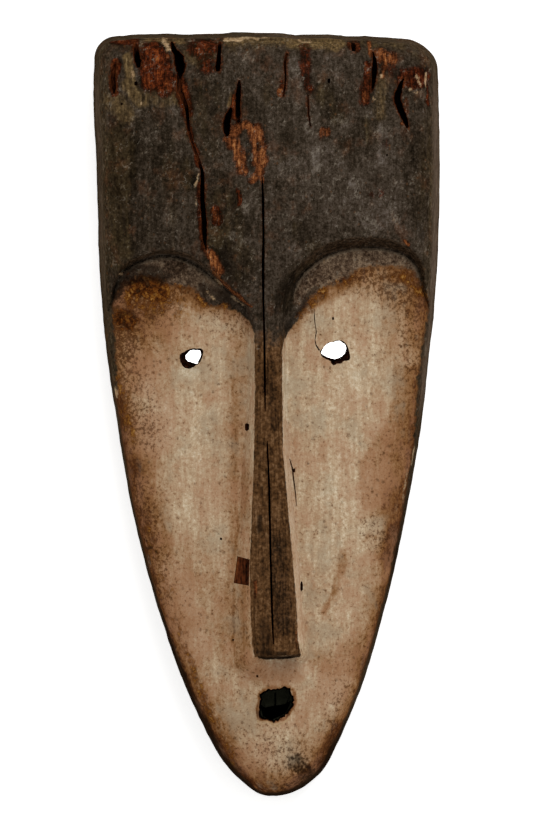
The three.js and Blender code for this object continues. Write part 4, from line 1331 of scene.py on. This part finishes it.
def paintFields(piece):
    x, y, z = readPlaces(piece).T / mm
    rim = lineDistance(x, y, closed(rimOutline))
    height, crest, beyond, fade = carvedSurface(x, y)
    below = height - z
    clayArea = np.vstack([clayTop, [(80, -170), (-80, -170)]])
    toEdge = lineDistance(x, y, clayTop) * np.where(isInside(x, y, clayArea), 1, -1)
    # the clay ends sharply along the nose, at the painted shadow line under its end, and raggedly under
    # the brows
    toNoseShadow = lineDistance(x, y, painting["noseShadowLine"])
    sharp, loss = painting["claySharpness"]
    clay = toEdge * (sharp - loss * within("clayUnderBrow", y))
    clay = np.minimum(clay, rim - onSide(x, clayBorder, y))
    offNoseShadow = (toNoseShadow - painting["noseLineHalf"]) * painting["noseLineSharpness"]
    setField(piece, "clay", np.minimum(clay, offNoseShadow))
    # towards the outline the wood turns olive and darker: partly its own tone, partly painted shade where
    # the forehead turns away
    setField(piece, "side", 1 - within("side", rim))
    # painted shade along the outermost edge, and down the forehead's side wall
    edgeShade = 1 - smoothstep(painting["vergeStart"], onSide(x, vergeDark, y, 2), rim)
    edgeShade = np.maximum(edgeShade, within("vergeWall", below) * within("vergeHigh", y))
    setField(piece, "edgeShade", edgeShade * onSide(x, vergeDark, y))
    setField(piece, "band", fade * within("band", beyond) * np.where(x > 0, 1, painting["leftBand"]))
    # a painted highlight on the rounded side edge, fainter at the top and down the wall
    strip = (1 - within("strip", rim)) * (1 - painting["stripLoss"] * within("stripTop", y))
    low, high = painting["rightStrip"]
    onRight = low * within("rightStripLow", y) + high * within("rightStripHigh", y)
    low, high = painting["leftStrip"]
    onLeft = low * within("leftStripLow", y) + high * within("leftStripHigh", y)
    strip = strip * np.where(x > 0, onRight, onLeft)
    setField(piece, "edgeHighlight", strip * (1 - painting["wallLoss"] * within("stripWall", below)))
    # the brow grooves are darkened, partly dark paint and partly painted shade under the overhanging
    # brow, joined by the painted shadow line under the nose's end
    grooves = []
    for kind in ("wide", "narrow"):
        start, more = painting[kind + "Groove"]
        groove = within(kind + "Crest", crest) * (1 - within(kind + "Foot", beyond))
        grooves.append(groove * (start + more * within(kind + "Across", x)))
    onNoseShadow = painting["noseLineDark"] * (1 - within("noseShadow", toNoseShadow))
    setField(piece, "groove", np.maximum(fade * np.where(x > 0, *grooves), onNoseShadow))
    # painted highlight on the lip just beyond the brows' grooves
    lip = (beyond - painting["lipPlace"]) / painting["lipWidth"]
    setField(piece, "lipHighlight", fade * np.exp(-lip ** 2))
    setField(piece, "nose", within("noseTop", y) * np.where(toEdge < painting["noseBorder"], 1, 0))
    byEye = np.zeros(x.shape, bool)
    for name in ("leftEye", "rightEye"):
        cx, cy = eyes[name]["middle"]
        byEye = byEye | (np.hypot(x - cx, y - cy) < eyes["reach"])
    # painted shade: torn wood darkens with depth below the front, the eyes' walls are painted at least
    # this dark, and the chip's floor is darker to the left, where its wall shades it
    depthSmokeAndShade = np.clip(below / painting["darkDepth"], 0, 1)
    depthSmokeAndShade = np.maximum(depthSmokeAndShade, np.where(byEye, painting["eyeWallShade"], 0))
    inChip = isInside(x, y, np.array(squareCuts["chip"][0]))
    chipShade = painting["chipShade"] - (x - painting["chipMiddle"]) * painting["chipSlope"]
    setField(piece, "depthSmokeAndShade", np.where(inChip, np.clip(chipShade, 0, painting["chipDarkest"]), depthSmokeAndShade))
    onFloor = isInside(x, y, np.array(mouth["front"])) * within("floorAbove", z) * within("floorBelow", z)
    setField(piece, "mouthFloor", onFloor)
    opened = np.zeros(x.shape)
    for name, stated in splits.items():
        line = smoothChain(stated, painting["splitSteps"])
        stretches = zip(line[:-1], line[1:])
        away = [lineDistance(x, y, [a[:2], b[:2]]) - (a[2] + b[2]) / 2 for a, b in stretches]
        torn = next(share for part, share in painting["tornEdge"].items() if part in name)
        opened = np.maximum(opened, torn * (1 - within("splitEdge", np.min(away, axis=0))))
    setField(piece, "splitEdge", opened * (1 - within("splitWall", below)))
    right, up = painting["wander"]
    x, y = x + uneven(x, y, right), y + uneven(x, y, up)
    # darker towards the sides, partly dirt and partly painted shade where the face turns away
    dirtAndShade = onSide(x, edgeDirtAndShade, rim)
    rubbed = lineDistance(x, y, rubbedBorder) * np.where(isInside(x, y, np.array(rubbedBorder)), 1, -1)
    dirtAndShade = dirtAndShade + (1 - dirtAndShade) * rubbedDirt * within("rubbed", rubbed) * within("rubbedEnd", y)
    # and towards the clay's ragged end under the brows
    soiled = painting["browDirt"] * within("clayEnd", toEdge) * within("dirtUnderBrow", y)
    dirtAndShade = dirtAndShade + (1 - dirtAndShade) * soiled
    for mark in dirtAndShadeMarks:
        dirtAndShade = dirtAndShade + (1 - dirtAndShade) * strokeField(x, y, [mark])
    setField(piece, "dirtAndShade", dirtAndShade * (1 - strokeField(x, y, cleanAndLitMarks)))
    # the marks of the front run out within a few millimetres down the side wall
    onFront = 1 - within("wall", below)
    for name, strokes in marks.items():
        setField(piece, name, strokeField(x, y, strokes) * onFront)


# Gouged softwood of the back: brown and dry, with the fibres showing, never stained or coated
backNoises = {
    "cloud": ("cloud", 30, 2, 3), "grit": ("cloud", 1.6, 1.5, 5), "fibre": ("cloud", 1.0, 16, 4),
    "streak": ("cloud", 4, 9, 3),
}
backLayers = [
    {
        "name": "wood", "tone": {"start": 0.5, "cloud": 0.8, "fibre": 0.9, "streak": 0.7, "grit": 0.4},
        "ramp": [(0, "1f150c"), (0.35, "40301f"), (0.6, "5e472f"), (0.8, "77603f"), (1, "93795a")],
    },
]
# Wood torn open by splits and insects: red-brown at the lip, black further in, partly with old smoke and
# partly painted shade of the deep cut
tornNoises = {"grit": ("cloud", 1.2, 2, 4), "fibre": ("cloud", 0.8, 10, 3)}
tornLayers = [
    {
        "name": "wood", "tone": {"start": 0.66, "fibre": 0.8, "grit": 0.8, "depthSmokeAndShade": -0.9},
        "ramp": [
            (0, "030202"), (0.15, "0b0503"), (0.35, "2a140a"), (0.6, "562a15"), (0.8, "7d4622"),
            (1, "a06c3c"),
        ],
    },
    {
        "name": "dusty", "mask": {"mouthFloor": 1}, "span": (0.3, 0.7),
        "tone": {"start": 0.5, "grit": 0.8}, "ramp": [(0, "161710"), (1, "36362a")],
    },
]

# Soot and dry clay swallow all shine, and bare wood keeps a little
stainedFront = layeredFinish(
    "kaolin_on_smoked_wood", frontNoises, frontLayers, frontRelief, {"start": 0.85, "clayMask": 0.1}, 0,
)
gougedWood = layeredFinish(
    "gouged_softwood", backNoises, backLayers, {"fibre": 0.3, "grit": 0.15}, {"start": 0.85}, 0.2,
)
tornWood = layeredFinish(
    "torn_softwood", tornNoises, tornLayers, {"fibre": 0.3, "grit": 0.3}, {"start": 0.88}, 0,
)
seeds = {"eye": 70, "betweenEyes": 5, "mouth": 31, "split": 100, "hole": 200}
creaseAngle = 40
# a face of the rim looks straight down and lies no higher than this
underside = {"facing": -0.9, "height": 0.1}

mask = carveFront()
mask.data.materials.append(stainedFront)
print("front carved", len(mask.data.polygons))
cutAway(mask, hollowCutter(), gougedWood)
print("back hollowed", len(mask.data.polygons))
for number, name in enumerate(("leftEye", "rightEye")):
    cutAway(mask, eyeCutter(name, seeds["eye"] + seeds["betweenEyes"] * number), tornWood)
cutAway(mask, mouthCutter(seeds["mouth"]), tornWood)
for name in squareCuts:
    cutAway(mask, squareCutter(name), tornWood)
for number, name in enumerate(splits):
    cutAway(mask, splitCutter(name, seeds["split"] + number), tornWood)
for number in range(len(wormHoles)):
    cutAway(mask, holeCutter(number, seeds["hole"] + number), tornWood)
print("openings cut", len(mask.data.polygons))
# the rim that it lies on faces straight down, and is as bare as the hollow
bareSlot = mask.data.materials.find(gougedWood.name)
for face in mask.data.polygons:
    if face.normal.z < underside["facing"] and face.center.z < underside["height"] * mm:
        face.material_index = bareSlot
selectOnly(mask)
bpy.ops.object.shade_smooth_by_angle(angle=math.radians(creaseAngle))
paintFields(mask)
print("finish painted")

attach(mask, "root")
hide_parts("mask")

studio = {
    "floorColor": "f6f5f3",
    "floorGlow": 0.55,
    "floorRoughness": 0.9,
    "floorSize": 6,
    "floorZ": -0.0002,
    "worldStrength": 0.68,
    "keyPower": 11.0,
    "keySize": 1.0,
    "keyPlace": (0.35, 0.95, 1.3),
    "keyAim": (0, 0, 0.04),
    # lamps inside the hollow, so that the paper shows white through the eyes
    "eyeLamps": [(-0.0287, 0.0222), (0.0265, 0.025)],
    "eyeLampZ": 0.014,
    "eyeLampSize": 0.012,
    "eyeLampPower": 0.004,
    "cameraPlace": (0, -0.0018),
    "lens": 800,
    "sensor": 36,
    "seenHeight": 0.3287,
    "clipEnd": 50,
}
white = (1, 1, 1, 1)


def lookDown():
    camera = bpy.data.cameras.new("camera")
    camera.lens = studio["lens"]
    camera.sensor_width = studio["sensor"]
    camera.clip_end = studio["clipEnd"]
    holder = bpy.data.objects.new("camera", camera)
    bpy.context.scene.collection.objects.link(holder)
    x, y = studio["cameraPlace"]
    holder.location = (x, y, studio["seenHeight"] * studio["lens"] / studio["sensor"])
    bpy.context.scene.camera = holder


def layFloor():
    bpy.ops.object.select_all(action="DESELECT")
    bpy.ops.mesh.primitive_plane_add(size=studio["floorSize"], location=(0, 0, studio["floorZ"]))
    floor = bpy.context.object
    floor.name = "floor"
    material = bpy.data.materials.new("white_paper")
    material.use_nodes = True
    shader = material.node_tree.nodes["Principled BSDF"]
    shader.inputs["Base Color"].default_value = hexColor(studio["floorColor"])
    shader.inputs["Roughness"].default_value = studio["floorRoughness"]
    shader.inputs["Emission Color"].default_value = white
    shader.inputs["Emission Strength"].default_value = studio["floorGlow"]
    floor.data.materials.append(material)


def areaLamp(name, place, aim, size, power):
    lamp = bpy.data.lights.new(name, "AREA")
    lamp.shape = "DISK"
    lamp.size = size
    lamp.energy = power
    holder = bpy.data.objects.new(name, lamp)
    bpy.context.scene.collection.objects.link(holder)
    holder.location = place
    holder.rotation_euler = (Vector(aim) - Vector(place)).to_track_quat("-Z", "Y").to_euler()
    return holder


def lightUp():
    world = bpy.data.worlds.new("studio")
    world.use_nodes = True
    background = world.node_tree.nodes["Background"]
    background.inputs["Color"].default_value = white
    background.inputs["Strength"].default_value = studio["worldStrength"]
    bpy.context.scene.world = world
    areaLamp("key", studio["keyPlace"], studio["keyAim"], studio["keySize"], studio["keyPower"])
    for x, y in studio["eyeLamps"]:
        place = (x, y, studio["eyeLampZ"])
        lamp = areaLamp("eyeLamp", place, (x, y, 0), studio["eyeLampSize"], studio["eyeLampPower"])
        lamp.visible_camera = False


lightUp()
lookDown()
layFloor()
bpy.context.scene.view_settings.view_transform = "Standard"
print("studio lit")
